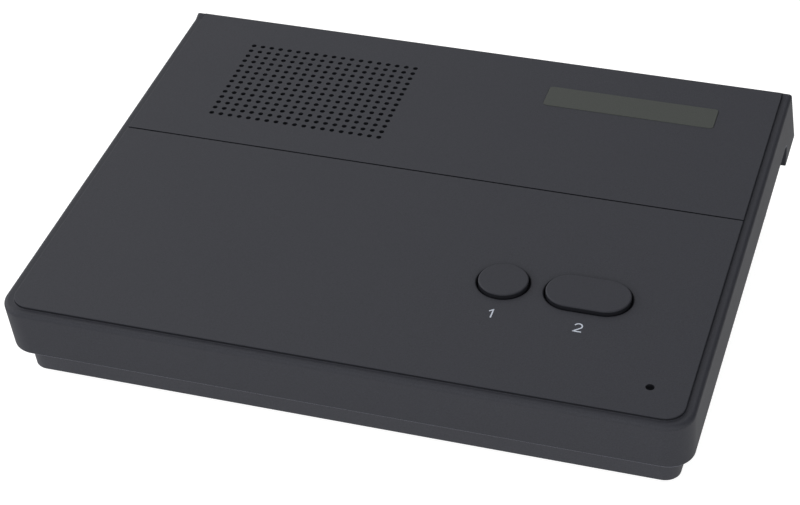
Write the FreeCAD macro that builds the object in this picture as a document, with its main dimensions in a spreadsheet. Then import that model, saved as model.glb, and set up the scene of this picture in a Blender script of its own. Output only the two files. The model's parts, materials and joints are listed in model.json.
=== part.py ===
import FreeCAD, Part
import math
import os

import Sketcher

# Desk console of a counter intercom: a wedge-shaped case whose flat top carries a loudspeaker
# grille, a bare badge, two push buttons and a microphone hole. All lengths are millimetres.
#
# Two frames are used. The table frame is the part's own: X to the right, Y away from the user,
# Z up, origin under the middle of the case. The case frame follows the sloping top: its origin
# is the middle of the raised panel's front edge, y runs back along the panel, z is its normal.

Vector = FreeCAD.Vector

SIZES = [
    # The case, seen along and across its sloping top.
    ("tilt", 5.87, "slope of the top in degrees, rear edge up"),
    ("top_height", 23.2, "height of the raised panel's front edge above the table"),
    ("panel_width", 158.3, "raised panel, across"),
    ("panel_depth", 130.4, "raised panel, front edge to rear edge"),
    ("panel_corner", 4.7, "radius of the panel's front corners"),
    ("panel_rise", 0.75, "step from the rim up to the panel"),
    ("panel_cove", 0.25, "hollow radius at the foot of that step"),
    ("panel_edge", 0.2, "rounding of the panel's top edge"),
    ("rim_run", 1.8, "length over which the rim rises towards the rear edge"),
    ("rim_lip", 0.1, "rim still below the panel at the rear edge"),
    ("rim_side", 2.4, "rim beside the panel"),
    ("rim_front", 2.0, "rim before the panel"),
    ("rim_round", 1.0, "rounding from the rim into the walls"),
    ("case_depth", 14.5, "panel down to the case's lower edge"),
    ("case_edge", 0.3, "rounding of the case's lower edge"),
    ("case_corner", 6.4, "radius of the case's front corners"),
    ("rear_corner", 0.15, "radius of the case's rear corners"),
    ("front_lean", 10.4, "front wall, degrees from the panel's normal, foot inwards"),
    ("back_lean", 32.2, "rear wall, degrees from the panel's normal, foot outwards"),
    ("hood_depth", 22.3, "panel down to the lower edge of the rear hood"),
    ("cheek_set", 0.4, "hood cheeks start this far before the panel's rear edge"),
    ("cheek_corner", 3.0, "inner radius where a cheek meets the side wall"),
    ("case_wall", 2.2, "wall of the case"),
    ("groove_place", 74.2, "cross groove, behind the panel's front edge"),
    ("groove_width", 0.45, "cross groove, wide"),
    ("groove_deep", 0.5, "cross groove, deep"),
    # The grille: columns across, rows along the panel.
    ("grille_x", -38.1, "middle of the grille, across"),
    ("grille_y", 101.95, "middle of the grille, behind the panel's front edge"),
    ("grille_columns", 19, "holes in a row"),
    ("grille_rows", 14, "rows of holes"),
    ("grille_pitch", 2.5, "hole to hole"),
    ("grille_hole", 1.3, "hole diameter"),
    # The badge.
    ("badge_x", 42.85, "middle of the badge, across"),
    ("badge_y", 114.4, "middle of the badge, behind the panel's front edge"),
    ("badge_length", 44.1, "badge, long"),
    ("badge_width", 8.63, "badge, wide"),
    ("badge_corner", 1.0, "badge corner radius"),
    ("badge_thick", 0.5, "badge plate"),
    ("badge_sink", 0.38, "depth of the badge's recess"),
    ("badge_gap", 0.05, "gap round the badge in its recess"),
    # Buttons, switches and their board.
    ("button_y", 36.9, "middle of both buttons, behind the panel's front edge"),
    ("privacy_x", 29.8, "round button, across"),
    ("call_x", 50.0, "long button, across"),
    ("button_width", 11.8, "cap diameter, or width of the long cap"),
    ("call_length", 20.05, "long cap, end to end"),
    ("button_gap", 0.3, "gap between cap and panel"),
    ("opening_round", 0.5, "rounding of the panel's edge round the caps"),
    ("button_stand", 0.9, "cap top above the panel"),
    ("button_round", 0.35, "rounding of the cap's top edge"),
    ("button_travel", 0.8, "stroke of a button"),
    ("flange_reach", 1.2, "lip of the cap that holds it under the panel"),
    ("flange_thick", 1.2, "thickness of that lip"),
    ("flange_play", 0.3, "gap between the lip and the panel's underside"),
    ("collar_wall", 1.2, "wall of the guide collars"),
    ("collar_height", 4.5, "guide collars, below the panel's underside"),
    ("plunger_diameter", 3.0, "switch plunger"),
    ("plunger_grip", 2.0, "plunger held in the cap"),
    ("plunger_entry", 1.8, "plunger's foot inside the switch at rest"),
    ("spring_room", 4.0, "cap underside to switch top at rest"),
    ("spring_coil", 6.0, "return spring, mean diameter"),
    ("spring_wire", 0.5, "return spring, wire"),
    ("spring_pitch", 0.9, "return spring, coil to coil"),
    ("switch_side", 9.0, "switch body, square"),
    ("switch_height", 5.0, "switch body, high"),
    ("pin_diameter", 0.8, "component legs"),
    ("pin_reach", 2.8, "legs below a component"),
    ("pin_hole", 1.1, "holes for legs in a board"),
    ("board_thick", 1.6, "circuit boards"),
    ("key_board_length", 54.0, "button board, across"),
    ("key_board_width", 26.0, "button board, along"),
    ("key_post_x", 24.0, "posts of the button board from its middle, across"),
    ("key_post_y", 10.0, "posts of the button board from its middle, along"),
    ("post_diameter", 5.0, "posts for small screws"),
    ("small_screw", 2.2, "small screw, shank"),
    ("small_head", 4.2, "small screw, head"),
    ("head_height", 1.6, "screw head, high"),
    ("small_length", 6.0, "small screw, below its head"),
    ("running_gap", 0.02, "clearance round a close-fitting shank"),
    # Loudspeaker, along its own axis below the grille.
    ("cloth_length", 50.0, "grille cloth, across"),
    ("cloth_width", 34.6, "grille cloth, along"),
    ("cloth_thick", 0.3, "grille cloth"),
    ("speaker_flange", 50.0, "speaker flange, square"),
    ("flange_corner", 5.0, "speaker flange corner radius"),
    ("sheet_thick", 1.0, "speaker flange sheet"),
    ("speaker_pitch", 20.5, "speaker screws from the axis, both ways"),
    ("speaker_mouth", 22.0, "radius of the speaker's opening"),
    ("gasket_outer", 24.0, "foam gasket, outer radius"),
    ("gasket_inner", 21.7, "foam gasket, inner radius"),
    ("gasket_thick", 2.6, "foam gasket"),
    ("surround_thick", 0.4, "rubber surround"),
    ("basket_depth", 7.8, "flange top to the magnet seat"),
    ("seat_radius", 12.0, "magnet seat of the basket"),
    ("magnet_radius", 12.5, "ring magnet, outer"),
    ("magnet_height", 5.0, "ring magnet, high"),
    ("plate_radius", 11.0, "pole plates"),
    ("plate_thick", 2.0, "pole plates"),
    ("pole_radius", 5.0, "centre pole"),
    ("coil_radius", 5.3, "voice coil, middle of its wall"),
    ("coil_wall", 0.3, "voice coil wall"),
    ("pole_gap", 0.75, "air gap, pole to top plate"),
    ("terminal_inner", 22.9, "terminal board's inner edge from the axis"),
    ("terminal_outer", 30.0, "terminal board's outer edge from the axis"),
    ("terminal_width", 8.0, "terminal board, along"),
    ("terminal_thick", 1.0, "terminal board"),
    ("tag_place", 28.0, "solder tags from the axis"),
    ("tag_pitch", 4.0, "solder tag to solder tag"),
    ("tag_reach", 2.0, "solder tags below the terminal board"),
    # Microphone.
    ("mic_x", 70.2, "microphone hole, across"),
    ("mic_y", 9.3, "microphone hole, behind the panel's front edge"),
    ("mic_hole", 2.05, "microphone hole"),
    ("capsule_diameter", 9.7, "microphone capsule"),
    ("capsule_height", 5.0, "microphone capsule, high"),
    ("boot_wall", 1.15, "rubber boot"),
    ("boot_height", 7.0, "rubber boot, high"),
    # Bottom cover.
    ("foot_height", 1.0, "cover's underside above the table"),
    ("base_inset_side", 3.3, "cover inside the case at the sides"),
    ("base_inset_front", 3.0, "cover behind the case at the front"),
    ("base_corner", 3.9, "radius of the cover's front corners"),
    ("base_rear_corner", 1.5, "radius of the cover's rear corners"),
    ("base_nest", 4.0, "cover's walls reach up inside the case"),
    ("base_wall", 2.0, "wall and floor of the cover"),
    ("base_edge", 0.4, "rounding of the cover's lower edge"),
    ("cable_bay", 17.6, "cover's rear wall to the hood's rear edge"),
    ("foot_diameter", 10.0, "rubber foot"),
    ("foot_sink", 0.5, "rubber foot let into the cover"),
    ("foot_x", 62.0, "feet from the middle, across"),
    ("foot_front", -56.0, "front feet, Y"),
    ("foot_rear", 46.0, "rear feet, Y"),
    # Case screws run straight up from below.
    ("screw_x", 71.5, "case screws from the middle, across"),
    ("screw_front", -44.0, "front case screws, Y"),
    ("screw_rear", 42.0, "rear case screws, Y"),
    ("case_screw", 3.0, "case screw, shank"),
    ("case_head", 6.0, "case screw, head"),
    ("case_length", 10.0, "case screw, below its head"),
    ("screw_seat", 8.0, "height of the screw heads' seat"),
    ("screw_floor", 2.0, "floor under a screw head"),
    ("socket_wall", 1.4, "wall round a screw well"),
    ("boss_diameter", 6.6, "case bosses that take the screws"),
    ("boss_bore", 8.5, "depth of the bore in a boss"),
    # Main board.
    ("main_left", -62.0, "main board, left edge X"),
    ("main_right", 36.0, "main board, right edge X"),
    ("main_front", -10.0, "main board, front edge Y"),
    ("main_rear_gap", 2.5, "main board to the rear wall"),
    ("main_stand", 1.5, "main board above the cover's floor"),
    ("main_post_in", 5.0, "main board posts from the board's side edges"),
    ("main_post_front", -4.0, "front posts of the main board, Y"),
    ("main_post_rear", 36.0, "rear posts of the main board, Y"),
    ("board_screw_length", 3.6, "main board screws, below the head"),
    ("header_height", 5.0, "wire headers, high"),
    ("header_pitch", 2.0, "wire to wire in a header"),
    ("wire_diameter", 1.1, "insulated wires"),
    ("shield_diameter", 1.8, "shielded microphone lead"),
    ("wire_bend", 2.0, "bend radius in the middle of a wire"),
    ("end_gap", 0.12, "gap between a wire's end and the tilted face it serves"),
    # Sockets and volume wheels in the rear wall.
    ("power_x", 48.0, "power socket, X"),
    ("power_height", 9.6, "power socket, axis above the table"),
    ("power_barrel", 8.0, "power socket, threaded barrel"),
    ("power_bore", 6.2, "power socket, bore"),
    ("power_pin", 2.05, "power socket, centre pin"),
    ("power_flange", 10.5, "power socket, flange"),
    ("power_flange_thick", 1.5, "power socket, flange thickness"),
    ("power_length", 13.0, "power socket, behind its flange"),
    ("power_deep", 9.5, "power socket, depth of the bore"),
    ("nut_side", 10.0, "power socket nut, across flats"),
    ("nut_thick", 2.0, "power socket nut"),
    ("line_x", 21.0, "line socket, X"),
    ("line_width", 13.2, "line socket, wide"),
    ("line_height", 11.5, "line socket, high"),
    ("line_depth", 15.0, "line socket, long"),
    ("line_mouth_width", 9.9, "line socket, opening width"),
    ("line_mouth_height", 6.8, "line socket, opening height"),
    ("line_mouth_deep", 12.0, "line socket, opening depth"),
    ("line_lip", 1.8, "line socket, floor under the opening"),
    ("latch_width", 6.2, "line socket, latch slot width"),
    ("latch_height", 1.6, "line socket, latch slot height"),
    ("audio_x", 3.0, "audio socket, X"),
    ("audio_width", 6.6, "audio socket, wide"),
    ("audio_height", 5.6, "audio socket, high"),
    ("audio_depth", 12.0, "audio socket body, long"),
    ("audio_nose", 6.0, "audio socket, round nose"),
    ("audio_bore", 3.6, "audio socket, bore"),
    ("panel_gap", 0.2, "gap round a socket in the rear wall"),
    ("socket_stand", 0.5, "sockets stand out of the rear wall"),
    ("wheel_inside_x", -24.0, "inside volume wheel, X"),
    ("wheel_outside_x", -50.0, "outside volume wheel, X"),
    ("wheel_diameter", 16.0, "volume wheel"),
    ("wheel_thick", 2.4, "volume wheel, thick"),
    ("wheel_stand", 1.8, "wheel stands out of the rear wall"),
    ("wheel_lift", 0.4, "wheel above its control, and below the slot's edge"),
    ("wheel_notches", 32, "notches round a wheel"),
    ("notch_diameter", 0.9, "notch round a wheel"),
    ("wheel_gap", 0.7, "gap beside a wheel in its slot"),
    ("control_side", 7.6, "volume control body, square"),
    ("control_height", 3.5, "volume control body, high"),
    ("control_shaft", 3.0, "volume control shaft"),
]


# Wire headers on the main board: middle X, middle Y and number of wires.
HEADERS = {
    "speaker": (-6.0, 24.0, 2),
    "buttons": (23.3, -6.0, 4),
    "microphone": (8.0, -6.0, 1),
    "power": (31.0, 24.0, 2),
}


# ------------------------------------------------------------------------------------------------
# Sizes that carry their sheet formula with them
# ------------------------------------------------------------------------------------------------
class Size:
    """A number with the sheet formula that gives it; sums and products keep both."""

    def __init__(self, value, formula):
        self.value = float(value)
        self.formula = formula

    def __add__(self, other):
        other = as_size(other)
        return Size(self.value + other.value, f"({self.formula} + {other.formula})")

    def __radd__(self, other):
        return as_size(other) + self

    def __sub__(self, other):
        other = as_size(other)
        return Size(self.value - other.value, f"({self.formula} - {other.formula})")

    def __rsub__(self, other):
        return as_size(other) - self

    def __mul__(self, other):
        other = as_size(other)
        return Size(self.value * other.value, f"({self.formula} * {other.formula})")

    def __rmul__(self, other):
        return as_size(other) * self

    def __truediv__(self, other):
        other = as_size(other)
        return Size(self.value / other.value, f"({self.formula} / {other.formula})")

    def __neg__(self):
        return Size(-self.value, f"(0 - {self.formula})")


def as_size(number):
    """Plain numbers stand for themselves."""
    if isinstance(number, Size):
        return number
    return Size(number, f"({float(number):.6f})")


def sine(angle):
    """Sine of an angle in degrees."""
    return Size(math.sin(math.radians(angle.value)), f"sin({angle.formula} * 1deg)")


def cosine(angle):
    """Cosine of an angle in degrees."""
    return Size(math.cos(math.radians(angle.value)), f"cos({angle.formula} * 1deg)")


def tangent(angle):
    """Tangent of an angle in degrees."""
    return Size(math.tan(math.radians(angle.value)), f"tan({angle.formula} * 1deg)")


class Sizes:
    """The driving sizes, one sheet row each, read as attributes."""

    def __init__(self, document, rows):
        self.sheet = document.addObject("Spreadsheet::Sheet", "Sizes")
        for row, (name, value, meaning) in enumerate(rows, start=1):
            self.sheet.set(f"A{row}", name)
            self.sheet.set(f"B{row}", str(value))
            self.sheet.set(f"C{row}", meaning)
            self.sheet.setAlias(f"B{row}", name)
            setattr(self, name, Size(value, f"Sizes.{name}"))
        document.recompute()


doc = FreeCAD.newDocument("CounterIntercom")
s = Sizes(doc, SIZES)


# ------------------------------------------------------------------------------------------------
# Places worked out from the sizes
# ------------------------------------------------------------------------------------------------
def case_to_table(y, z):
    """Turn a case-frame (y, z) by the tilt, before the frame's own shift."""
    y = as_size(y)
    z = as_size(z)
    return y * cosine(s.tilt) - z * sine(s.tilt), y * sine(s.tilt) + z * cosine(s.tilt)


half_panel = s.panel_width / 2
half_case = half_panel + s.rim_side
wall_start = s.panel_rise + s.rim_round
rear_y_at_hood = s.panel_depth + tangent(s.back_lean) * s.hood_depth

# The table frame's origin lies midway between the frontmost and the rearmost point of the case.
rim_centre = s.rim_round / cosine(s.front_lean) - s.rim_front
front_reach = case_to_table(rim_centre, -wall_start)[0] - s.rim_round
rear_reach = case_to_table(rear_y_at_hood, -s.hood_depth)[0]
frame_y = -(front_reach + rear_reach) / 2
frame_z = s.top_height


def table_point(y, z):
    """Case-frame (y, z) in the table frame."""
    turned_y, turned_z = case_to_table(y, z)
    return turned_y + frame_y, turned_z + frame_z


def height_at(table_y, case_z):
    """Table height of the plane parallel to the panel at case_z, above table_y."""
    return frame_z + (as_size(table_y) - frame_y) * tangent(s.tilt) + as_size(case_z) / cosine(s.tilt)


def front_wall_y(depth):
    """Case-frame y of the case's outer front wall at a depth below the panel."""
    return tangent(s.front_lean) * (as_size(depth) - wall_start) - s.rim_front


def back_wall_y(depth):
    """Case-frame y of the case's outer rear wall at a depth below the panel."""
    return s.panel_depth + tangent(s.back_lean) * as_size(depth)


grille_wide = s.grille_pitch * (s.grille_columns - 1)
grille_long = s.grille_pitch * (s.grille_rows - 1)

aperture = s.button_width + s.button_gap * 2
call_aperture = s.call_length + s.button_gap * 2
flange_width = s.button_width + s.flange_reach * 2
call_flange = s.call_length + s.flange_reach * 2
collar_inner = flange_width + s.button_gap * 2
call_collar_inner = call_flange + s.button_gap * 2
flange_top = s.case_wall + s.flange_play
flange_bottom = flange_top + s.flange_thick
switch_top = flange_bottom + s.spring_room
board_top = switch_top + s.switch_height
board_bottom = board_top + s.board_thick
key_board_x = (s.privacy_x + s.call_x) / 2

cloth_bottom = s.case_wall + s.cloth_thick
gasket_bottom = cloth_bottom + s.gasket_thick
flange_face = gasket_bottom + s.surround_thick
sheet_bottom = flange_face + s.sheet_thick
seat_top = flange_face + s.basket_depth
seat_bottom = seat_top + s.sheet_thick
plate_bottom = seat_bottom + s.plate_thick
magnet_bottom = plate_bottom + s.magnet_height
yoke_bottom = magnet_bottom + s.plate_thick

half_base = half_case - s.base_inset_side
floor_top = s.foot_height + s.base_wall
wall_outer = rear_reach + frame_y - s.cable_bay
wall_inner = wall_outer - s.base_wall
main_bottom = floor_top + s.main_stand
main_top = main_bottom + s.board_thick
main_rear = wall_inner - s.main_rear_gap
well_outer = s.case_head + s.running_gap + s.socket_wall * 2
well_top = s.screw_seat + s.screw_floor
power_nose = wall_outer + s.power_flange_thick
line_front = wall_outer + s.socket_stand
wheel_y = wall_outer + s.wheel_stand - s.wheel_diameter / 2
control_top = main_top + s.control_height
wheel_bottom = control_top + s.wheel_lift
wheel_top = wheel_bottom + s.wheel_thick


# ------------------------------------------------------------------------------------------------
# Bodies and sketches
# ------------------------------------------------------------------------------------------------
def new_body(label):
    """A body whose label names its node."""
    body = doc.addObject("PartDesign::Body", label)
    body.Label = label
    return body


def place_in_case(body, x, y, z):
    """Stand a body's own origin at a point of the case frame, tilted with the panel."""
    table_y, table_z = table_point(y, z)
    base = [as_size(x), table_y, table_z]
    turn = FreeCAD.Rotation(Vector(1, 0, 0), s.tilt.value)
    body.Placement = FreeCAD.Placement(Vector(*[length.value for length in base]), turn)
    for axis, length in zip("xyz", base):
        body.setExpression(f"Placement.Base.{axis}", length.formula)
    body.setExpression("Placement.Rotation.Angle", "Sizes.tilt * 1deg")


def place_on_table(body, x, y, z):
    """Stand a body's own origin at a point of the table frame, untilted."""
    base = [as_size(x), as_size(y), as_size(z)]
    body.Placement = FreeCAD.Placement(Vector(*[length.value for length in base]), FreeCAD.Rotation())
    for axis, length in zip("xyz", base):
        body.setExpression(f"Placement.Base.{axis}", length.formula)


def sketch_on(body, role, name, height=0):
    """A sketch on one of the body's own origin planes, moved along that plane's normal."""
    plane = [item for item in body.Origin.OriginFeatures if item.Role == role][0]
    sketch = body.newObject("Sketcher::SketchObject", f"{body.Name}_{name}")
    sketch.AttachmentSupport = [(plane, "")]
    sketch.MapMode = "FlatFace"
    height = as_size(height)
    sketch.AttachmentOffset = FreeCAD.Placement(Vector(0, 0, height.value), FreeCAD.Rotation())
    sketch.setExpression("AttachmentOffset.Base.z", height.formula)
    return sketch


def level_sketch(body, name, height):
    """A sketch in a tilted body that lies level, in table coordinates, at a table height."""
    sketch = sketch_on(body, "XY_Plane", name)
    rise = as_size(height) - frame_z
    offset_y = rise * sine(s.tilt) - frame_y * cosine(s.tilt)
    offset_z = rise * cosine(s.tilt) + frame_y * sine(s.tilt)
    turn = FreeCAD.Rotation(Vector(-1, 0, 0), s.tilt.value)
    sketch.AttachmentOffset = FreeCAD.Placement(Vector(0, offset_y.value, offset_z.value), turn)
    sketch.setExpression("AttachmentOffset.Base.y", offset_y.formula)
    sketch.setExpression("AttachmentOffset.Base.z", offset_z.formula)
    sketch.setExpression("AttachmentOffset.Rotation.Angle", "Sizes.tilt * 1deg")
    return sketch


def hold(sketch, kind, size, *where):
    """Bind one coordinate, radius or diameter of a sketch to a size."""
    size = as_size(size)
    index = sketch.addConstraint(Sketcher.Constraint(kind, *where, size.value))
    name = f"{kind.lower()}_{index}"
    sketch.renameConstraint(index, name)
    sketch.setExpression(f"Constraints.{name}", size.formula)


def hold_point(sketch, geometry, vertex, x, y):
    """Bind both coordinates of a sketch point."""
    hold(sketch, "DistanceX", x, geometry, vertex)
    hold(sketch, "DistanceY", y, geometry, vertex)


def corner_arc(before, corner, after, radius):
    """Tangent points and centre of the arc that rounds a corner between two straight edges."""
    to_before = (before - corner).normalize()
    to_after = (after - corner).normalize()
    half_angle = to_before.getAngle(to_after) / 2
    reach = radius / math.tan(half_angle)
    middle = (to_before + to_after).normalize()
    centre = corner + middle * (radius / math.sin(half_angle))
    return corner + to_before * reach, corner + to_after * reach, centre


def outline(sketch, corners):
    """Closed outline of straight edges; a corner (x, y, radius) is rounded, (x, y) is sharp."""
    points = [Vector(as_size(corner[0]).value, as_size(corner[1]).value, 0) for corner in corners]
    count = len(corners)
    starts = list(points)
    ends = list(points)
    arcs = {}
    for i, corner in enumerate(corners):
        if len(corner) == 3:
            radius = as_size(corner[2]).value
            ends[i], starts[i], centre = corner_arc(points[i - 1], points[i], points[(i + 1) % count], radius)
            arcs[i] = centre
    lines = []
    for i in range(count):
        lines.append(sketch.addGeometry(Part.LineSegment(starts[i], ends[(i + 1) % count])))
    for i, corner in enumerate(corners):
        before = lines[i - 1]
        after = lines[i]
        if i in arcs:
            round_corner(sketch, before, after, ends[i], starts[i], arcs[i], corner)
        else:
            sketch.addConstraint(Sketcher.Constraint("Coincident", before, 2, after, 1))
            hold_point(sketch, after, 1, corner[0], corner[1])


def round_corner(sketch, before, after, first, last, centre, corner):
    """Join two lines by a tangent arc whose sharp corner stays at the corner's coordinates."""
    first_angle = math.atan2(first.y - centre.y, first.x - centre.x)
    last_angle = math.atan2(last.y - centre.y, last.x - centre.x)
    left_turn = (last_angle - first_angle) % (2 * math.pi) < math.pi
    angles = (first_angle, last_angle) if left_turn else (last_angle, first_angle)
    circle = Part.Circle(centre, Vector(0, 0, 1), first.distanceToPoint(centre))
    arc = sketch.addGeometry(Part.ArcOfCircle(circle, *angles))
    head, tail = (1, 2) if left_turn else (2, 1)
    sketch.addConstraint(Sketcher.Constraint("Tangent", before, 2, arc, head))
    sketch.addConstraint(Sketcher.Constraint("Tangent", after, 1, arc, tail))
    hold(sketch, "Radius", corner[2], arc)
    x, y = as_size(corner[0]), as_size(corner[1])
    point = sketch.addGeometry(Part.Point(Vector(x.value, y.value, 0)), True)
    hold_point(sketch, point, 1, x, y)
    sketch.addConstraint(Sketcher.Constraint("PointOnObject", point, 1, before))
    sketch.addConstraint(Sketcher.Constraint("PointOnObject", point, 1, after))


def rectangle(sketch, x, y, wide, high, radius=None):
    """A rectangle about (x, y), with rounded corners if a radius is given."""
    x, y, wide, high = as_size(x), as_size(y), as_size(wide), as_size(high)
    left, right = x - wide / 2, x + wide / 2
    low, top = y - high / 2, y + high / 2
    corners = [(left, low), (right, low), (right, top), (left, top)]
    if radius is not None:
        corners = [(cx, cy, radius) for cx, cy in corners]
    outline(sketch, corners)


def circle(sketch, x, y, diameter):
    """A circle about (x, y)."""
    x, y, diameter = as_size(x), as_size(y), as_size(diameter)
    centre = Vector(x.value, y.value, 0)
    geometry = sketch.addGeometry(Part.Circle(centre, Vector(0, 0, 1), diameter.value / 2))
    hold_point(sketch, geometry, 3, x, y)
    hold(sketch, "Diameter", diameter, geometry)


def stadium(sketch, x, y, length, width):
    """A long hole along x about (x, y): two half circles joined by straight edges."""
    x, y, length, width = as_size(x), as_size(y), as_size(length), as_size(width)
    reach = (length - width) / 2
    radius = width.value / 2
    up = Vector(0, radius, 0)
    left = Vector((x - reach).value, y.value, 0)
    right = Vector((x + reach).value, y.value, 0)
    quarter = math.pi / 2
    normal = Vector(0, 0, 1)
    right_arc = sketch.addGeometry(Part.ArcOfCircle(Part.Circle(right, normal, radius), -quarter, quarter))
    top = sketch.addGeometry(Part.LineSegment(right + up, left + up))
    left_arc = sketch.addGeometry(Part.ArcOfCircle(Part.Circle(left, normal, radius), quarter, 3 * quarter))
    low = sketch.addGeometry(Part.LineSegment(left - up, right - up))
    chain = [(right_arc, 2, top, 1), (top, 2, left_arc, 1), (left_arc, 2, low, 1), (low, 2, right_arc, 1)]
    for link in chain:
        sketch.addConstraint(Sketcher.Constraint("Tangent", *link))
    hold_point(sketch, right_arc, 3, x + reach, y)
    hold(sketch, "DistanceX", x - reach, left_arc, 3)
    hold(sketch, "Radius", width / 2, right_arc)


def add_feature(body, kind, name, sketch, more, check):
    """Finish a sketch-based feature and see that it changed the solid the right way."""
    before = body.Shape.Volume if body.Tip else 0.0
    feature = body.newObject(f"PartDesign::{kind}", f"{body.Name}_{name}")
    feature.Profile = sketch
    for key, value in more.items():
        setattr(feature, key, value)
    if "Length" in more:
        feature.setExpression("Length", as_size(check[1]).formula)
    body.Tip = feature
    doc.recompute()
    change = body.Shape.Volume - before
    if change * check[0] <= 0:
        raise RuntimeError(f"{feature.Name} changed the volume by {change:.4f}")
    return feature


def pad(body, name, sketch, length, midplane=False, reverse=False):
    """Extrude a sketch into material."""
    length = as_size(length)
    more = {"Length": length.value, "Midplane": midplane, "Reversed": reverse}
    return add_feature(body, "Pad", name, sketch, more, (1, length))


def pocket(body, name, sketch, length, midplane=False, reverse=False):
    """Extrude a sketch into a cut."""
    length = as_size(length)
    more = {"Length": length.value, "Midplane": midplane, "Reversed": reverse}
    return add_feature(body, "Pocket", name, sketch, more, (-1, length))


def revolve(body, name, sketch, cut=False, axis="V_Axis"):
    """Turn a sketch once round one of its own axes, as material or as a cut."""
    kind, sign = ("Groove", -1) if cut else ("Revolution", 1)
    more = {"ReferenceAxis": (sketch, [axis]), "Angle": 360.0}
    return add_feature(body, kind, name, sketch, more, (sign, 0))


def round_edges(body, name, chosen, radius, kind="Fillet"):
    """Fillet or chamfer the edges that a test picks from the body's present shape."""
    shape = body.Shape.copy()
    shape.Placement = FreeCAD.Placement()
    picked = [f"Edge{i}" for i, edge in enumerate(shape.Edges, start=1) if chosen(edge)]
    if not picked:
        raise RuntimeError(f"no edge for {body.Name} {name}")
    tip = body.Tip
    feature = body.newObject(f"PartDesign::{kind}", f"{body.Name}_{name}")
    feature.Base = (tip, picked)
    size_name = "Radius" if kind == "Fillet" else "Size"
    radius = as_size(radius)
    setattr(feature, size_name, radius.value)
    feature.setExpression(size_name, radius.formula)
    body.Tip = feature
    doc.recompute()
    if "Invalid" in feature.State:
        raise RuntimeError(f"{feature.Name} failed on {picked}")
    return feature


def near(value, target, slack=0.01):
    """Whether two lengths agree."""
    return abs(value - as_size(target).value) < slack


def flat_at(edge, height, slack=0.01):
    """Whether an edge lies wholly at a z height."""
    box = edge.BoundBox
    return near(box.ZMin, height, slack) and near(box.ZMax, height, slack)


def grid(body, name, feature, sketch, columns, rows, wide, long):
    """Repeat a feature in columns along the sketch's x and rows along its y."""
    pattern = body.newObject("PartDesign::MultiTransform", f"{body.Name}_{name}")
    pattern.Originals = [feature]
    steps = []
    for axis, count, length in (("H_Axis", columns, wide), ("V_Axis", rows, long)):
        step = body.newObject("PartDesign::LinearPattern", f"{body.Name}_{name}_{axis}")
        step.Direction = (sketch, [axis])
        step.Occurrences = int(count.value)
        step.Length = length.value
        step.setExpression("Occurrences", count.formula)
        step.setExpression("Length", length.formula)
        steps.append(step)
    pattern.Transformations = steps
    body.Tip = pattern
    doc.recompute()
    return pattern


def corners_of(x, y):
    """The four points at plus or minus x, plus or minus y."""
    return [(x * i, y * j) for i in (-1, 1) for j in (-1, 1)]


# ------------------------------------------------------------------------------------------------
# Case
# ------------------------------------------------------------------------------------------------
def make_top_housing():
    """Upper shell: raised panel, rim, leaning walls and rear hood, with all that hangs in it."""
    body = new_body("top_housing")
    shape_outside(body)
    hollow_inside(body)
    add_underside_features(body)
    cut_top_features(body)
    add_case_bosses(body)
    place_in_case(body, 0, 0, 0)
    return body


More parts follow.
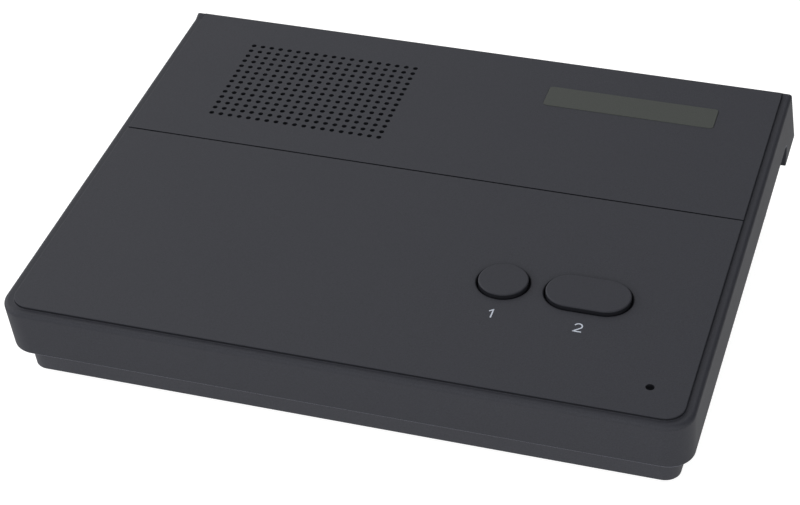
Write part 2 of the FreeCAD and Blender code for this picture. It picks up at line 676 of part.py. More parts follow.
def shape_outside(body):
    """Wedge block with rounded corners, the step round the panel and the rounded rim."""
    side = sketch_on(body, "YZ_Plane", "side")
    cheek = s.panel_depth - s.cheek_set
    outline(side, [
        (front_wall_y(0), 0),
        (front_wall_y(s.case_depth), -s.case_depth),
        (cheek, -s.case_depth, s.cheek_corner),
        (cheek, -s.hood_depth),
        (rear_y_at_hood, -s.hood_depth),
        (s.panel_depth, 0),
    ])
    pad(body, "block", side, half_case * 2, midplane=True)

    def front_corner(edge):
        box = edge.BoundBox
        at_side = near(abs(box.XMin), half_case) and near(box.XMin, box.XMax)
        return at_side and box.YMax < s.case_corner.value and box.ZLength > 1.0

    round_edges(body, "front_corners", front_corner, s.case_corner)

    step = sketch_on(body, "XY_Plane", "step")
    far_x = half_case + 5
    far_y = -s.rim_front - 5
    end_y = s.panel_depth - s.rim_run
    outline(step, [
        (-far_x, far_y),
        (far_x, far_y),
        (far_x, end_y),
        (half_panel, end_y),
        (half_panel, 0, s.panel_corner),
        (-half_panel, 0, s.panel_corner),
        (-half_panel, end_y),
        (-far_x, end_y),
    ])
    pocket(body, "rim", step, s.panel_rise)
    past_end = s.panel_depth + s.rim_run
    for side, place in (("right", half_panel), ("left", -half_panel)):
        ramp = sketch_on(body, "YZ_Plane", f"{side}_ramp", place)
        outline(ramp, [
            (end_y - s.rim_run, s.panel_rise),
            (end_y - s.rim_run, -s.panel_rise),
            (end_y, -s.panel_rise),
            (past_end, s.panel_rise - s.rim_lip * 2),
            (past_end, s.panel_rise),
        ])
        pocket(body, f"{side}_rim_end", ramp, s.rim_side + 1, reverse=side == "right")

    def outer_rim(edge):
        box = edge.BoundBox
        outside = box.XMax > half_panel.value + 0.5 or box.XMin < -half_panel.value - 0.5
        before = box.YMin < -0.5
        if near(box.YMin, end_y) and near(box.ZMin, -s.panel_rise) and box.ZLength > 0.1:
            return near(abs(box.XMin), half_case) and near(box.XMin, box.XMax)
        if not flat_at(edge, -s.panel_rise) or not (outside or before):
            return False
        return box.YMin < end_y.value - 1 and not near(box.YMax, 0)

    round_edges(body, "rim_round", outer_rim, s.rim_round)

    def step_foot(edge):
        box = edge.BoundBox
        inside = box.XMax < half_panel.value + 0.01 and box.XMin > -half_panel.value - 0.01
        return flat_at(edge, -s.panel_rise) and inside and box.YMin > -0.01

    round_edges(body, "cove", step_foot, s.panel_cove)

    def panel_top(edge):
        box = edge.BoundBox
        inside = box.XMax < half_panel.value + 0.01 and box.XMin > -half_panel.value - 0.01
        return flat_at(edge, 0) and inside and not near(box.YMin, s.panel_depth)

    round_edges(body, "panel_edge", panel_top, s.panel_edge)

    def lower_edge(edge):
        box = edge.BoundBox
        return flat_at(edge, -s.case_depth) and not near(box.YMin, cheek, 0.1)

    round_edges(body, "lower_edge", lower_edge, s.case_edge)

    def rear_corner(edge):
        box = edge.BoundBox
        at_side = near(abs(box.XMin), half_case) and near(box.XMin, box.XMax)
        at_rear = near(box.YMax, rear_y_at_hood) and near(box.ZMin, -s.hood_depth)
        return at_side and at_rear and box.YMin > s.panel_depth.value

    round_edges(body, "rear_corners", rear_corner, s.rear_corner)


def hollow_inside(body):
    """Room inside the walls, open below, with the front corners rounded to match."""
    inside = sketch_on(body, "YZ_Plane", "inside")
    front_wall = s.case_wall / cosine(s.front_lean)
    back_wall = s.case_wall / cosine(s.back_lean)
    below = s.hood_depth + 1
    outline(inside, [
        (front_wall_y(s.case_wall) + front_wall, -s.case_wall),
        (front_wall_y(below) + front_wall, -below),
        (back_wall_y(below) - back_wall, -below),
        (back_wall_y(s.case_wall) - back_wall, -s.case_wall),
    ])
    pocket(body, "room", inside, (half_case - s.case_wall) * 2, midplane=True)

    def inner_front_corner(edge):
        box = edge.BoundBox
        at_side = near(abs(box.XMin), half_case - s.case_wall) and near(box.XMin, box.XMax)
        return at_side and box.YMax < s.case_corner.value and box.ZLength > 5.0

    round_edges(body, "inner_corners", inner_front_corner, s.case_corner - s.case_wall)


def add_underside_features(body):
    """Guide collars, board posts, speaker bosses and the microphone collar under the panel."""
    root = s.case_wall / 2
    collars = sketch_on(body, "XY_Plane", "collars", -root)
    outer = collar_inner + s.collar_wall * 2
    circle(collars, s.privacy_x, s.button_y, outer)
    pad(body, "privacy_collar", collars, s.collar_height + root, reverse=True)
    long_collar = sketch_on(body, "XY_Plane", "long_collar", -root)
    call_outer = call_collar_inner + s.collar_wall * 2
    stadium(long_collar, s.call_x, s.button_y, call_outer, outer)
    pad(body, "call_collar", long_collar, s.collar_height + root, reverse=True)
    bore_round = sketch_on(body, "XY_Plane", "bore_round", -s.case_wall)
    circle(bore_round, s.privacy_x, s.button_y, collar_inner)
    pocket(body, "privacy_guide", bore_round, s.collar_height + 1)
    bore_long = sketch_on(body, "XY_Plane", "bore_long", -s.case_wall)
    stadium(bore_long, s.call_x, s.button_y, call_collar_inner, collar_inner)
    pocket(body, "call_guide", bore_long, s.collar_height + 1)

    posts = sketch_on(body, "XY_Plane", "posts", -root)
    post_bores = sketch_on(body, "XY_Plane", "post_bores", -board_top)
    for x, y in corners_of(s.key_post_x, s.key_post_y):
        circle(posts, key_board_x + x, s.button_y + y, s.post_diameter)
        circle(post_bores, key_board_x + x, s.button_y + y, s.small_screw + s.running_gap * 2)
    pad(body, "board_posts", posts, board_top - root, reverse=True)
    pocket(body, "board_bores", post_bores, s.small_length, reverse=True)

    bosses = sketch_on(body, "XY_Plane", "bosses", -root)
    boss_bores = sketch_on(body, "XY_Plane", "boss_bores", -flange_face)
    for x, y in corners_of(s.speaker_pitch, s.speaker_pitch):
        circle(bosses, s.grille_x + x, s.grille_y + y, s.post_diameter)
        circle(boss_bores, s.grille_x + x, s.grille_y + y, s.small_screw + s.running_gap * 2)
    pad(body, "speaker_bosses", bosses, flange_face - root, reverse=True)
    pocket(body, "speaker_bores", boss_bores, s.small_length - s.sheet_thick * 1.5, reverse=True)

    mic = sketch_on(body, "XY_Plane", "mic_collar", -root)
    mic_inner = s.capsule_diameter + s.boot_wall * 2 + s.panel_gap
    circle(mic, s.mic_x, s.mic_y, mic_inner + s.collar_wall * 2)
    circle(mic, s.mic_x, s.mic_y, mic_inner)
    pad(body, "mic_ring", mic, s.collar_height + root, reverse=True)


def cut_top_features(body):
    """Groove, button openings, microphone hole, badge recess and the grille."""
    through = s.case_wall + 1
    round_hole = sketch_on(body, "XY_Plane", "round_hole")
    circle(round_hole, s.privacy_x, s.button_y, aperture)
    pocket(body, "privacy_opening", round_hole, through)
    long_hole = sketch_on(body, "XY_Plane", "long_hole")
    stadium(long_hole, s.call_x, s.button_y, call_aperture, aperture)
    pocket(body, "call_opening", long_hole, through)

    def opening_edge(edge):
        box = edge.BoundBox
        reach = aperture.value / 2 + 0.1
        along = near(box.YMin, s.button_y, reach) and near(box.YMax, s.button_y, reach)
        return flat_at(edge, 0) and along and box.XMin > (s.privacy_x - reach).value

    round_edges(body, "opening_edges", opening_edge, s.opening_round)

    mic = sketch_on(body, "XY_Plane", "mic_hole")
    circle(mic, s.mic_x, s.mic_y, s.mic_hole)
    pocket(body, "mic_opening", mic, through)
    badge = sketch_on(body, "XY_Plane", "badge_recess")
    gap = s.badge_gap * 2
    rectangle(badge, s.badge_x, s.badge_y, s.badge_length + gap, s.badge_width + gap,
              s.badge_corner + s.badge_gap)
    pocket(body, "badge_seat", badge, s.badge_sink)
    groove = sketch_on(body, "XY_Plane", "cross_groove")
    rectangle(groove, 0, s.groove_place, s.panel_width + 0.2, s.groove_width)
    pocket(body, "groove", groove, s.groove_deep)

    hole = sketch_on(body, "XY_Plane", "grille_hole")
    circle(hole, s.grille_x - grille_wide / 2, s.grille_y - grille_long / 2, s.grille_hole)
    first = pocket(body, "grille_first", hole, through)
    grid(body, "grille", first, hole, s.grille_columns, s.grille_rows, grille_wide, grille_long)


def add_case_bosses(body):
    """Level-footed bosses that take the case screws, drilled straight up."""
    for end, place in (("front", s.screw_front), ("rear", s.screw_rear)):
        bosses = level_sketch(body, f"{end}_bosses", well_top)
        bores = level_sketch(body, f"{end}_bores", well_top)
        for side in (-1, 1):
            circle(bosses, s.screw_x * side, place, s.boss_diameter)
            circle(bores, s.screw_x * side, place, s.case_screw + s.running_gap * 2)
        reach = height_at(place, -s.case_wall * 0.6) - well_top
        pad(body, f"{end}_boss", bosses, reach)
        pocket(body, f"{end}_bore", bores, s.boss_bore, reverse=True)


def make_bottom_cover():
    """Lower shell: a level-bottomed wedge tray that nests inside the case."""
    body = new_body("bottom_cover")
    lean = s.front_lean + s.tilt
    front_y, front_z = table_point(front_wall_y(s.case_depth) + s.base_inset_front, -s.case_depth)
    rim_z = s.base_nest - s.case_depth
    lift = height_at(0, rim_z)
    slope = tangent(s.tilt)

    def front_at(height):
        """Table y of the outer front wall at a table height."""
        return front_y - tangent(lean) * (height - front_z)

    def meet_rim(foot_y, foot_z):
        """Where a front wall line from its foot reaches the cover's sloping rim."""
        height = (lift + slope * (foot_y + tangent(lean) * foot_z)) / (1 + slope * tangent(lean))
        return foot_y - tangent(lean) * (height - foot_z), height

    side = sketch_on(body, "YZ_Plane", "side")
    foot_y = front_at(s.foot_height)
    top_y, top_z = meet_rim(foot_y, s.foot_height)
    outline(side, [
        (foot_y, s.foot_height),
        (wall_outer, s.foot_height),
        (wall_outer, height_at(wall_outer, rim_z)),
        (top_y, top_z),
    ])
    pad(body, "block", side, half_base * 2, midplane=True)

    def front_corner(edge):
        box = edge.BoundBox
        at_side = near(abs(box.XMin), half_base) and near(box.XMin, box.XMax)
        return at_side and box.YMax < foot_y.value + 0.5

    def rear_corner(edge):
        box = edge.BoundBox
        at_side = near(abs(box.XMin), half_base) and near(box.XMin, box.XMax)
        return at_side and near(box.YMin, wall_outer)

    def lower_edge(edge):
        return flat_at(edge, s.foot_height)

    round_edges(body, "front_corners", front_corner, s.base_corner)
    round_edges(body, "rear_corners", rear_corner, s.base_rear_corner)
    round_edges(body, "lower_edge", lower_edge, s.base_edge)

    inside = sketch_on(body, "YZ_Plane", "inside")
    inner_foot = front_at(floor_top) + s.base_wall / cosine(lean)
    above = top_z + 30
    inner_top = inner_foot - tangent(lean) * (above - floor_top)
    outline(inside, [
        (inner_foot, floor_top),
        (wall_inner, floor_top),
        (wall_inner, above),
        (inner_top, above),
    ])
    pocket(body, "room", inside, (half_base - s.base_wall) * 2, midplane=True)

    def inner_front_corner(edge):
        box = edge.BoundBox
        at_side = near(abs(box.XMin), half_base - s.base_wall) and near(box.XMin, box.XMax)
        return at_side and box.YMax < inner_foot.value + 0.5 and box.ZLength > 3

    round_edges(body, "inner_corners", inner_front_corner, s.base_corner - s.base_wall)
    add_screw_wells(body)
    add_board_posts(body)
    cut_feet_and_sockets(body)
    place_on_table(body, 0, 0, 0)
    return body


def add_screw_wells(body):
    """Four posts that meet the case bosses, sunk from below for the screw heads."""
    posts = sketch_on(body, "XY_Plane", "wells", s.foot_height + 0.5)
    heads = sketch_on(body, "XY_Plane", "well_heads", s.foot_height)
    shanks = sketch_on(body, "XY_Plane", "well_shanks", s.screw_seat)
    for y in (s.screw_front, s.screw_rear):
        for side in (-1, 1):
            circle(posts, s.screw_x * side, y, well_outer)
            circle(heads, s.screw_x * side, y, s.case_head + s.panel_gap)
            circle(shanks, s.screw_x * side, y, s.case_screw + s.panel_gap)
    pad(body, "well_posts", posts, well_top - s.foot_height - 0.5)
    pocket(body, "head_wells", heads, s.screw_seat - s.foot_height, reverse=True)
    pocket(body, "shank_holes", shanks, s.screw_floor + 1, reverse=True)


def board_post_points():
    """The main board's four screw places."""
    left = s.main_left + s.main_post_in
    right = s.main_right - s.main_post_in
    return [(x, y) for x in (left, right) for y in (s.main_post_front, s.main_post_rear)]


def add_board_posts(body):
    """Short posts under the main board, with blind bores."""
    posts = sketch_on(body, "XY_Plane", "posts", floor_top - 0.5)
    bores = sketch_on(body, "XY_Plane", "post_bores", main_bottom)
    for x, y in board_post_points():
        circle(posts, x, y, s.post_diameter)
        circle(bores, x, y, s.small_screw + s.running_gap * 2)
    pad(body, "board_posts", posts, s.main_stand + 0.5)
    pocket(body, "board_bores", bores, s.board_screw_length - s.board_thick + 0.5)


def cut_feet_and_sockets(body):
    """Recesses for the feet, and the rear wall's openings for sockets and wheels."""
    feet = sketch_on(body, "XY_Plane", "feet", s.foot_height)
    for y in (s.foot_front, s.foot_rear):
        for side in (-1, 1):
            circle(feet, s.foot_x * side, y, s.foot_diameter + s.panel_gap * 2)
    pocket(body, "foot_recesses", feet, s.foot_sink, reverse=True)

    cut_from = -(wall_inner - 1)
    cut_through = s.base_wall + 2
    gap = s.panel_gap * 2
    power = sketch_on(body, "XZ_Plane", "power", cut_from)
    circle(power, s.power_x, s.power_height, s.power_barrel + s.panel_gap)
    pocket(body, "power_hole", power, cut_through)
    audio = sketch_on(body, "XZ_Plane", "audio", cut_from)
    circle(audio, s.audio_x, main_top + s.audio_height / 2, s.audio_nose + gap)
    pocket(body, "audio_hole", audio, cut_through)
    line = sketch_on(body, "XZ_Plane", "line", cut_from)
    rectangle(line, s.line_x, main_top + s.line_height / 2, s.line_width + gap, s.line_height + gap)
    pocket(body, "line_window", line, cut_through)
    wheel_slot = s.wheel_diameter + s.wheel_gap * 2
    slot_height = s.wheel_thick + s.wheel_lift * 2
    for name, x in (("inside", s.wheel_inside_x), ("outside", s.wheel_outside_x)):
        slot = sketch_on(body, "XZ_Plane", f"{name}_slot", cut_from)
        rectangle(slot, x, (wheel_bottom + wheel_top) / 2, wheel_slot, slot_height)
        pocket(body, f"{name}_wheel_slot", slot, cut_through)


def make_name_badge():
    """Bare plate let a little way into the panel."""
    body = new_body("name_badge")
    plate = sketch_on(body, "XY_Plane", "plate")
    rectangle(plate, 0, 0, s.badge_length, s.badge_width, s.badge_corner)
    pad(body, "plate", plate, s.badge_thick)
    round_edges(body, "edge", lambda edge: flat_at(edge, s.badge_thick), 0.12)
    place_in_case(body, s.badge_x, s.badge_y, -s.badge_sink)
    return body


def make_rubber_feet():
    """Four round feet, each with a rounded lower edge."""
    feet = []
    for end, y in (("front", s.foot_front), ("rear", s.foot_rear)):
        for side, sign in (("left", -1), ("right", 1)):
            foot = new_body(f"foot_{end}_{side}")
            disc = sketch_on(foot, "XY_Plane", "disc")
            circle(disc, 0, 0, s.foot_diameter)
            pad(foot, "disc", disc, s.foot_height + s.foot_sink)
            round_edges(foot, "edge", lambda edge: flat_at(edge, 0), 0.5)
            place_on_table(foot, s.foot_x * sign, y, 0)
            feet.append(foot)
    return group("rubber_feet", feet)


def group(label, members):
    """Several alike but separate solids that share one node."""
    compound = doc.addObject("Part::Compound", label)
    compound.Label = label
    compound.Links = members
    doc.recompute()
    return compound


# ------------------------------------------------------------------------------------------------
# Screws
# ------------------------------------------------------------------------------------------------
def make_screw(label, shank, head, head_height, length):
    """Pan-head screw along z: the head's seat at z = 0, the shank upwards, a cross in the head."""
    body = new_body(label)
    top = sketch_on(body, "XY_Plane", "head")
    circle(top, 0, 0, head)
    pad(body, "head", top, head_height, reverse=True)
    round_edges(body, "crown", lambda edge: flat_at(edge, -head_height), head_height * 0.45)
    stem = sketch_on(body, "XY_Plane", "shank")
    circle(stem, 0, 0, shank)
    pad(body, "shank", stem, length)
    for name, wide, high in (("slot_a", head * 0.5, head * 0.13), ("slot_b", head * 0.13, head * 0.5)):
        slot = sketch_on(body, "XY_Plane", name, -head_height)
        rectangle(slot, 0, 0, wide, high)
        pocket(body, name, slot, head_height * 0.55, reverse=True)
    return body


def make_screws():
    """The four kinds of screw in the console, each kind one node."""
    groups = []
    case = []
    for y in (s.screw_front, s.screw_rear):
        for side in (-1, 1):
            screw = make_screw(f"case_screw_{len(case)}", s.case_screw, s.case_head, 2.0, s.case_length)
            place_on_table(screw, s.screw_x * side, y, s.screw_seat)
            case.append(screw)
    groups.append(group("case_screws", case))
    speaker = []
    for x, y in corners_of(s.speaker_pitch, s.speaker_pitch):
        screw = make_screw(f"speaker_screw_{len(speaker)}", s.small_screw, s.small_head,
                           s.head_height, s.small_length - s.sheet_thick)
        place_in_case(screw, s.grille_x + x, s.grille_y + y, -sheet_bottom)
        speaker.append(screw)
    groups.append(group("speaker_screws", speaker))
    keys = []
    for x, y in corners_of(s.key_post_x, s.key_post_y):
        screw = make_screw(f"key_screw_{len(keys)}", s.small_screw, s.small_head,
                           s.head_height, s.small_length)
        place_in_case(screw, key_board_x + x, s.button_y + y, -board_bottom)
        keys.append(screw)
    groups.append(group("button_board_screws", keys))
    board = []
    for x, y in board_post_points():
        screw = make_screw(f"main_screw_{len(board)}", s.small_screw, s.small_head,
                           s.head_height, s.board_screw_length)
        place_on_table(screw, x, y, main_top)
        screw.Placement = FreeCAD.Placement(screw.Placement.Base, FreeCAD.Rotation(Vector(1, 0, 0), 180))
        board.append(screw)
    groups.append(group("main_board_screws", board))
    return groups


# ------------------------------------------------------------------------------------------------
# Buttons
# ------------------------------------------------------------------------------------------------
def cap_outline(sketch, length, width):
    """Round cap outline, or a long one if its length is given."""
    if length is None:
        circle(sketch, 0, 0, width)
    else:
        stadium(sketch, 0, 0, length, width)


def make_cap(label, x, length, flange_length):
    """Push button cap: crown above the panel, lip below it, blind hole for the plunger."""
    body = new_body(label)
    lip = sketch_on(body, "XY_Plane", "lip", -flange_bottom)
    cap_outline(lip, flange_length, flange_width)
    pad(body, "lip", lip, s.flange_thick)
    crown = sketch_on(body, "XY_Plane", "crown", -flange_top - s.flange_thick / 2)
    cap_outline(crown, length, s.button_width)
    pad(body, "crown", crown, flange_top + s.flange_thick / 2 + s.button_stand)
    round_edges(body, "crown_edge", lambda edge: flat_at(edge, s.button_stand), s.button_round)
    hole = sketch_on(body, "XY_Plane", "hole", -flange_bottom)
    circle(hole, 0, 0, s.plunger_diameter + s.running_gap * 2)
    pocket(body, "plunger_hole", hole, s.plunger_grip, reverse=True)
    place_in_case(body, x, s.button_y, 0)
    return body


def make_plunger(label, x):
    """Round pin between the cap and the switch, moving with the cap."""
    body = new_body(label)
    foot = -(switch_top + s.plunger_entry)
    rod = sketch_on(body, "XY_Plane", "rod", foot)
    circle(rod, 0, 0, s.plunger_diameter)
    pad(body, "rod", rod, s.plunger_grip - flange_bottom - foot)
    place_in_case(body, x, s.button_y, 0)
    return body


def make_spring(label, x):
    """Return spring wound round the plunger, from the switch up to the cap."""
    body = new_body(label)
    wire = sketch_on(body, "XZ_Plane", "wire")
    wire_radius = s.spring_wire / 2
    low = s.running_gap + wire_radius - switch_top
    circle(wire, s.spring_coil / 2, low, s.spring_wire)
    coil = body.newObject("PartDesign::AdditiveHelix", f"{label}_coil")
    coil.Profile = wire
    coil.ReferenceAxis = (wire, ["V_Axis"])
    coil.Mode = "pitch-height-angle"
    height = s.spring_room - s.spring_wire - s.running_gap * 2
    coil.Pitch = s.spring_pitch.value
    coil.Height = height.value
    coil.setExpression("Pitch", s.spring_pitch.formula)
    coil.setExpression("Height", height.formula)
    body.Tip = coil
    doc.recompute()
    place_in_case(body, x, s.button_y, 0)
    return body


def switch_legs(x):
    """The four leg places of a switch, from the button board's middle."""
    legs = corners_of(s.switch_side * 0.36, s.switch_side * 0.25)
    return [(as_size(x) + leg_x, leg_y) for leg_x, leg_y in legs]


def make_switch(label, x):
    """Switch body on the button board, bored for the plunger, with four legs."""
    body = new_body(label)
    block = sketch_on(body, "XY_Plane", "block", -board_top)
    rectangle(block, 0, 0, s.switch_side, s.switch_side, 0.6)
    pad(body, "block", block, s.switch_height)
    bore = sketch_on(body, "XY_Plane", "bore", -switch_top)
    circle(bore, 0, 0, s.plunger_diameter + s.running_gap * 4)
    pocket(body, "bore", bore, s.plunger_entry + s.button_travel + 0.6)
    legs = sketch_on(body, "XY_Plane", "legs", -board_top)
    for leg_x, leg_y in switch_legs(0):
        circle(legs, leg_x, leg_y, s.pin_diameter)
    pad(body, "legs", legs, s.pin_reach, reverse=True)
    place_in_case(body, x, s.button_y, 0)
    return body


def make_button_board():
    """Small circuit board under both switches."""
    body = new_body("button_board")
    plate = sketch_on(body, "XY_Plane", "plate", -board_bottom)
    rectangle(plate, 0, 0, s.key_board_length, s.key_board_width, 1.0)
    for x, y in corners_of(s.key_post_x, s.key_post_y):
        circle(plate, x, y, s.small_screw + s.panel_gap * 2)
    for x in (s.privacy_x, s.call_x):
        for leg_x, leg_y in switch_legs(x - key_board_x):
            circle(plate, leg_x, leg_y, s.pin_hole)
    pad(body, "plate", plate, s.board_thick)
    place_in_case(body, key_board_x, s.button_y, 0)
    return body


# ------------------------------------------------------------------------------------------------
# Loudspeaker and microphone
# ------------------------------------------------------------------------------------------------
def turned(label, corners, x, y):
    """A body turned about the case frame's normal through (x, y); corners are (radius, depth)."""
    body = new_body(label)
    profile = sketch_on(body, "XZ_Plane", "profile")
    outline(profile, [(corner[0], -as_size(corner[1])) + tuple(corner[2:]) for corner in corners])
    revolve(body, "turn", profile)
    place_in_case(body, x, y, 0)
    return body


def make_grille_cloth():
    """Thin cloth glued behind the grille."""
    body = new_body("grille_cloth")
    cloth = sketch_on(body, "XY_Plane", "cloth", -cloth_bottom)
    rectangle(cloth, 0, 0, s.cloth_length, s.cloth_width, 1.0)
    pad(body, "cloth", cloth, s.cloth_thick)
    place_in_case(body, s.grille_x, s.grille_y, 0)
    return body


def make_speaker():
    """Loudspeaker: sheet basket, cone on its rubber surround, coil, plates and ring magnet."""
    x, y = s.grille_x, s.grille_y
    inner_pole = s.pole_radius + s.pole_gap
    nodes = [make_basket()]
    nodes.append(turned("speaker_gasket", [
        (s.gasket_inner, cloth_bottom),
        (s.gasket_outer, cloth_bottom),
        (s.gasket_outer, gasket_bottom),
        (s.gasket_inner, gasket_bottom),
    ], x, y))
    roll = s.surround_thick
    cone_edge = s.speaker_mouth - 4.5
    nodes.append(turned("speaker_surround", [
        (s.gasket_outer, gasket_bottom),
        (s.gasket_outer, flange_face),
        (s.speaker_mouth - 0.5, flange_face),
        (s.speaker_mouth - 1.6, flange_face - 1.1),
        (cone_edge + 1.6, flange_face - 1.1),
        (cone_edge + 0.4, flange_face),
        (cone_edge, flange_face),
        (cone_edge, gasket_bottom),
        (cone_edge + 0.6, gasket_bottom),
        (cone_edge + 1.4, gasket_bottom - 1.2),
        (s.speaker_mouth - 1.3, gasket_bottom - 1.2),
        (s.speaker_mouth - 0.3, gasket_bottom),
    ], x, y))
    neck = s.coil_radius + s.coil_wall / 2
    cone_low = flange_face + 4.2
    nodes.append(turned("speaker_cone", [
        (neck, cone_low),
        (cone_edge - 1.0, flange_face),
        (cone_edge + 0.35, flange_face),
        (cone_edge + 0.35, flange_face + roll),
        (cone_edge - 0.8, flange_face + roll),
        (neck, cone_low + roll * 1.5),
    ], x, y))
    nodes.append(turned("voice_coil", [
        (neck - s.coil_wall, cone_low),
        (neck - 0.01, cone_low),
        (neck - 0.01, seat_bottom + s.plate_thick * 0.9),
        (neck - s.coil_wall, seat_bottom + s.plate_thick * 0.9),
    ], x, y))
    nodes.append(make_dust_cap(cone_low))
    nodes.append(turned("speaker_top_plate", [
        (inner_pole, seat_bottom),
        (s.plate_radius, seat_bottom),
        (s.plate_radius, plate_bottom),
        (inner_pole, plate_bottom),
    ], x, y))
    nodes.append(turned("speaker_magnet", [
        (inner_pole + 1.2, plate_bottom),
        (s.magnet_radius, plate_bottom),
        (s.magnet_radius, magnet_bottom),
        (inner_pole + 1.2, magnet_bottom),
    ], x, y))
    nodes.append(turned("speaker_yoke", [
        (0, seat_bottom),
        (s.pole_radius, seat_bottom),
        (s.pole_radius, magnet_bottom),
        (s.plate_radius, magnet_bottom),
        (s.plate_radius, yoke_bottom),
        (0, yoke_bottom),
    ], x, y))
    return nodes


def make_basket():
    """Square flange drawn down to a seat for the magnet, with four windows in its cone."""
    body = new_body("speaker_basket")
    flange = sketch_on(body, "XY_Plane", "flange", -sheet_bottom)
    rectangle(flange, 0, 0, s.speaker_flange, s.speaker_flange, s.flange_corner)
    for x, y in corners_of(s.speaker_pitch, s.speaker_pitch):
        circle(flange, x, y, s.small_screw + s.panel_gap * 4)
    circle(flange, 0, 0, s.speaker_mouth * 2)
    pad(body, "flange", flange, s.sheet_thick)
    wall = sketch_on(body, "XZ_Plane", "wall")
    outline(wall, [
        (s.speaker_mouth, -flange_face),
        (s.speaker_mouth + 0.5, -flange_face),
        (s.speaker_mouth + 0.5, -sheet_bottom),
        (s.seat_radius + 1, -seat_bottom),
        (s.pole_radius + s.pole_gap * 2, -seat_bottom),
        (s.pole_radius + s.pole_gap * 2, -seat_top),
        (s.seat_radius, -seat_top),
        (s.speaker_mouth - 0.5, -sheet_bottom),
        (s.speaker_mouth, -sheet_bottom + 0.2),
    ])
    revolve(body, "wall", wall)
    for name, wide, high in (("windows_x", s.speaker_mouth * 2, s.seat_radius),
                             ("windows_y", s.seat_radius, s.speaker_mouth * 2)):
        window = sketch_on(body, "XY_Plane", name, -sheet_bottom - 1.5)
        rectangle(window, 0, 0, wide, high)
        pocket(body, name, window, seat_top - sheet_bottom - 2.5)
    place_in_case(body, s.grille_x, s.grille_y, 0)
    return body


def make_dust_cap(rim_depth):
    """Shallow dome over the voice coil."""
    body = new_body("speaker_dust_cap")
    profile = sketch_on(body, "XZ_Plane", "profile")
    reach = s.coil_radius + s.coil_wall
    outline(profile, [
        (0, -(rim_depth - 2.2)),
        (reach * 0.55, -(rim_depth - 1.8)),
        (reach, -(rim_depth - 0.25)),
        (reach - 0.4, -(rim_depth - 0.02)),
        (reach * 0.5, -(rim_depth - 1.5)),
        (0, -(rim_depth - 1.85)),
    ])
    revolve(body, "dome", profile)
    place_in_case(body, s.grille_x, s.grille_y, 0)
    return body


def make_microphone():
    """Rubber boot that seals a capsule against the panel behind its hole."""
    inner = s.capsule_diameter / 2
    outer = inner + s.boot_wall
    top = s.case_wall
    boot = turned("microphone_boot", [
        (s.mic_hole / 2, top),
        (outer, top),
        (outer, top + s.boot_height),
        (inner, top + s.boot_height),
        (inner, top + s.boot_wall),
        (s.mic_hole / 2, top + s.boot_wall),
    ], s.mic_x, s.mic_y)
    face = top + s.boot_wall
    radius = inner - s.running_gap
    capsule = turned("microphone_capsule", [
        (0, face),
        (radius, face, 0.5),
        (radius, face + s.capsule_height),
        (0, face + s.capsule_height),
    ], s.mic_x, s.mic_y)
    return [boot, capsule]


# ------------------------------------------------------------------------------------------------
# Main board, sockets and volume controls
# ------------------------------------------------------------------------------------------------
def make_main_board():
    """Circuit board on the cover's posts."""
    body = new_body("main_board")
    plate = sketch_on(body, "XY_Plane", "plate", main_bottom)
    left, right, front, rear = s.main_left, s.main_right, s.main_front, main_rear
    outline(plate, [(left, front, 1.0), (right, front, 1.0), (right, rear, 1.0), (left, rear, 1.0)])
    for x, y in board_post_points():
        circle(plate, x, y, s.small_screw + s.panel_gap * 2)
    pad(body, "plate", plate, s.board_thick)
    place_on_table(body, 0, 0, 0)
    return body


def make_block(label, wide, long, high, x, y, z):
    """Rectangular component on a board, with slightly broken top edges."""
    body = new_body(label)
    base = sketch_on(body, "XY_Plane", "base")
    rectangle(base, 0, 0, wide, long)
    pad(body, "block", base, high)
    round_edges(body, "edges", lambda edge: flat_at(edge, high), 0.25, kind="Chamfer")
    place_on_table(body, x, y, z)
    return body


def make_components():
    """Chips, electrolytic capacitors and wire headers on the main board."""
    chips = [
        make_block("chip_logic", 19.4, 6.4, 3.4, 4.0, 14.0, main_top),
        make_block("chip_amplifier", 9.4, 6.4, 3.4, 4.0, 26.0, main_top),
        make_block("chip_microphone", 9.4, 6.4, 3.4, -8.0, 2.0, main_top),
    ]
    cans = []
    for x, y, diameter, high in ((20.0, 5.5, 8.0, 11.0), (20.0, 15.5, 8.0, 11.0), (20.0, 24.5, 6.3, 9.0)):
        can = new_body(f"can_{len(cans)}")
        base = sketch_on(can, "XY_Plane", "base")
        circle(base, 0, 0, diameter)
        pad(can, "can", base, high)
        round_edges(can, "edge", lambda edge: flat_at(edge, high), 0.5)
        place_on_table(can, x, y, main_top)
        cans.append(can)
    headers = []
    for name, (x, y, wires) in HEADERS.items():
        wide = s.header_pitch * wires + 1.0
        headers.append(make_block(f"header_{name}", wide, 4.5, s.header_height, x, y, main_top))
    return [group("board_chips", chips), group("board_capacitors", cans), group("wire_headers", headers)]


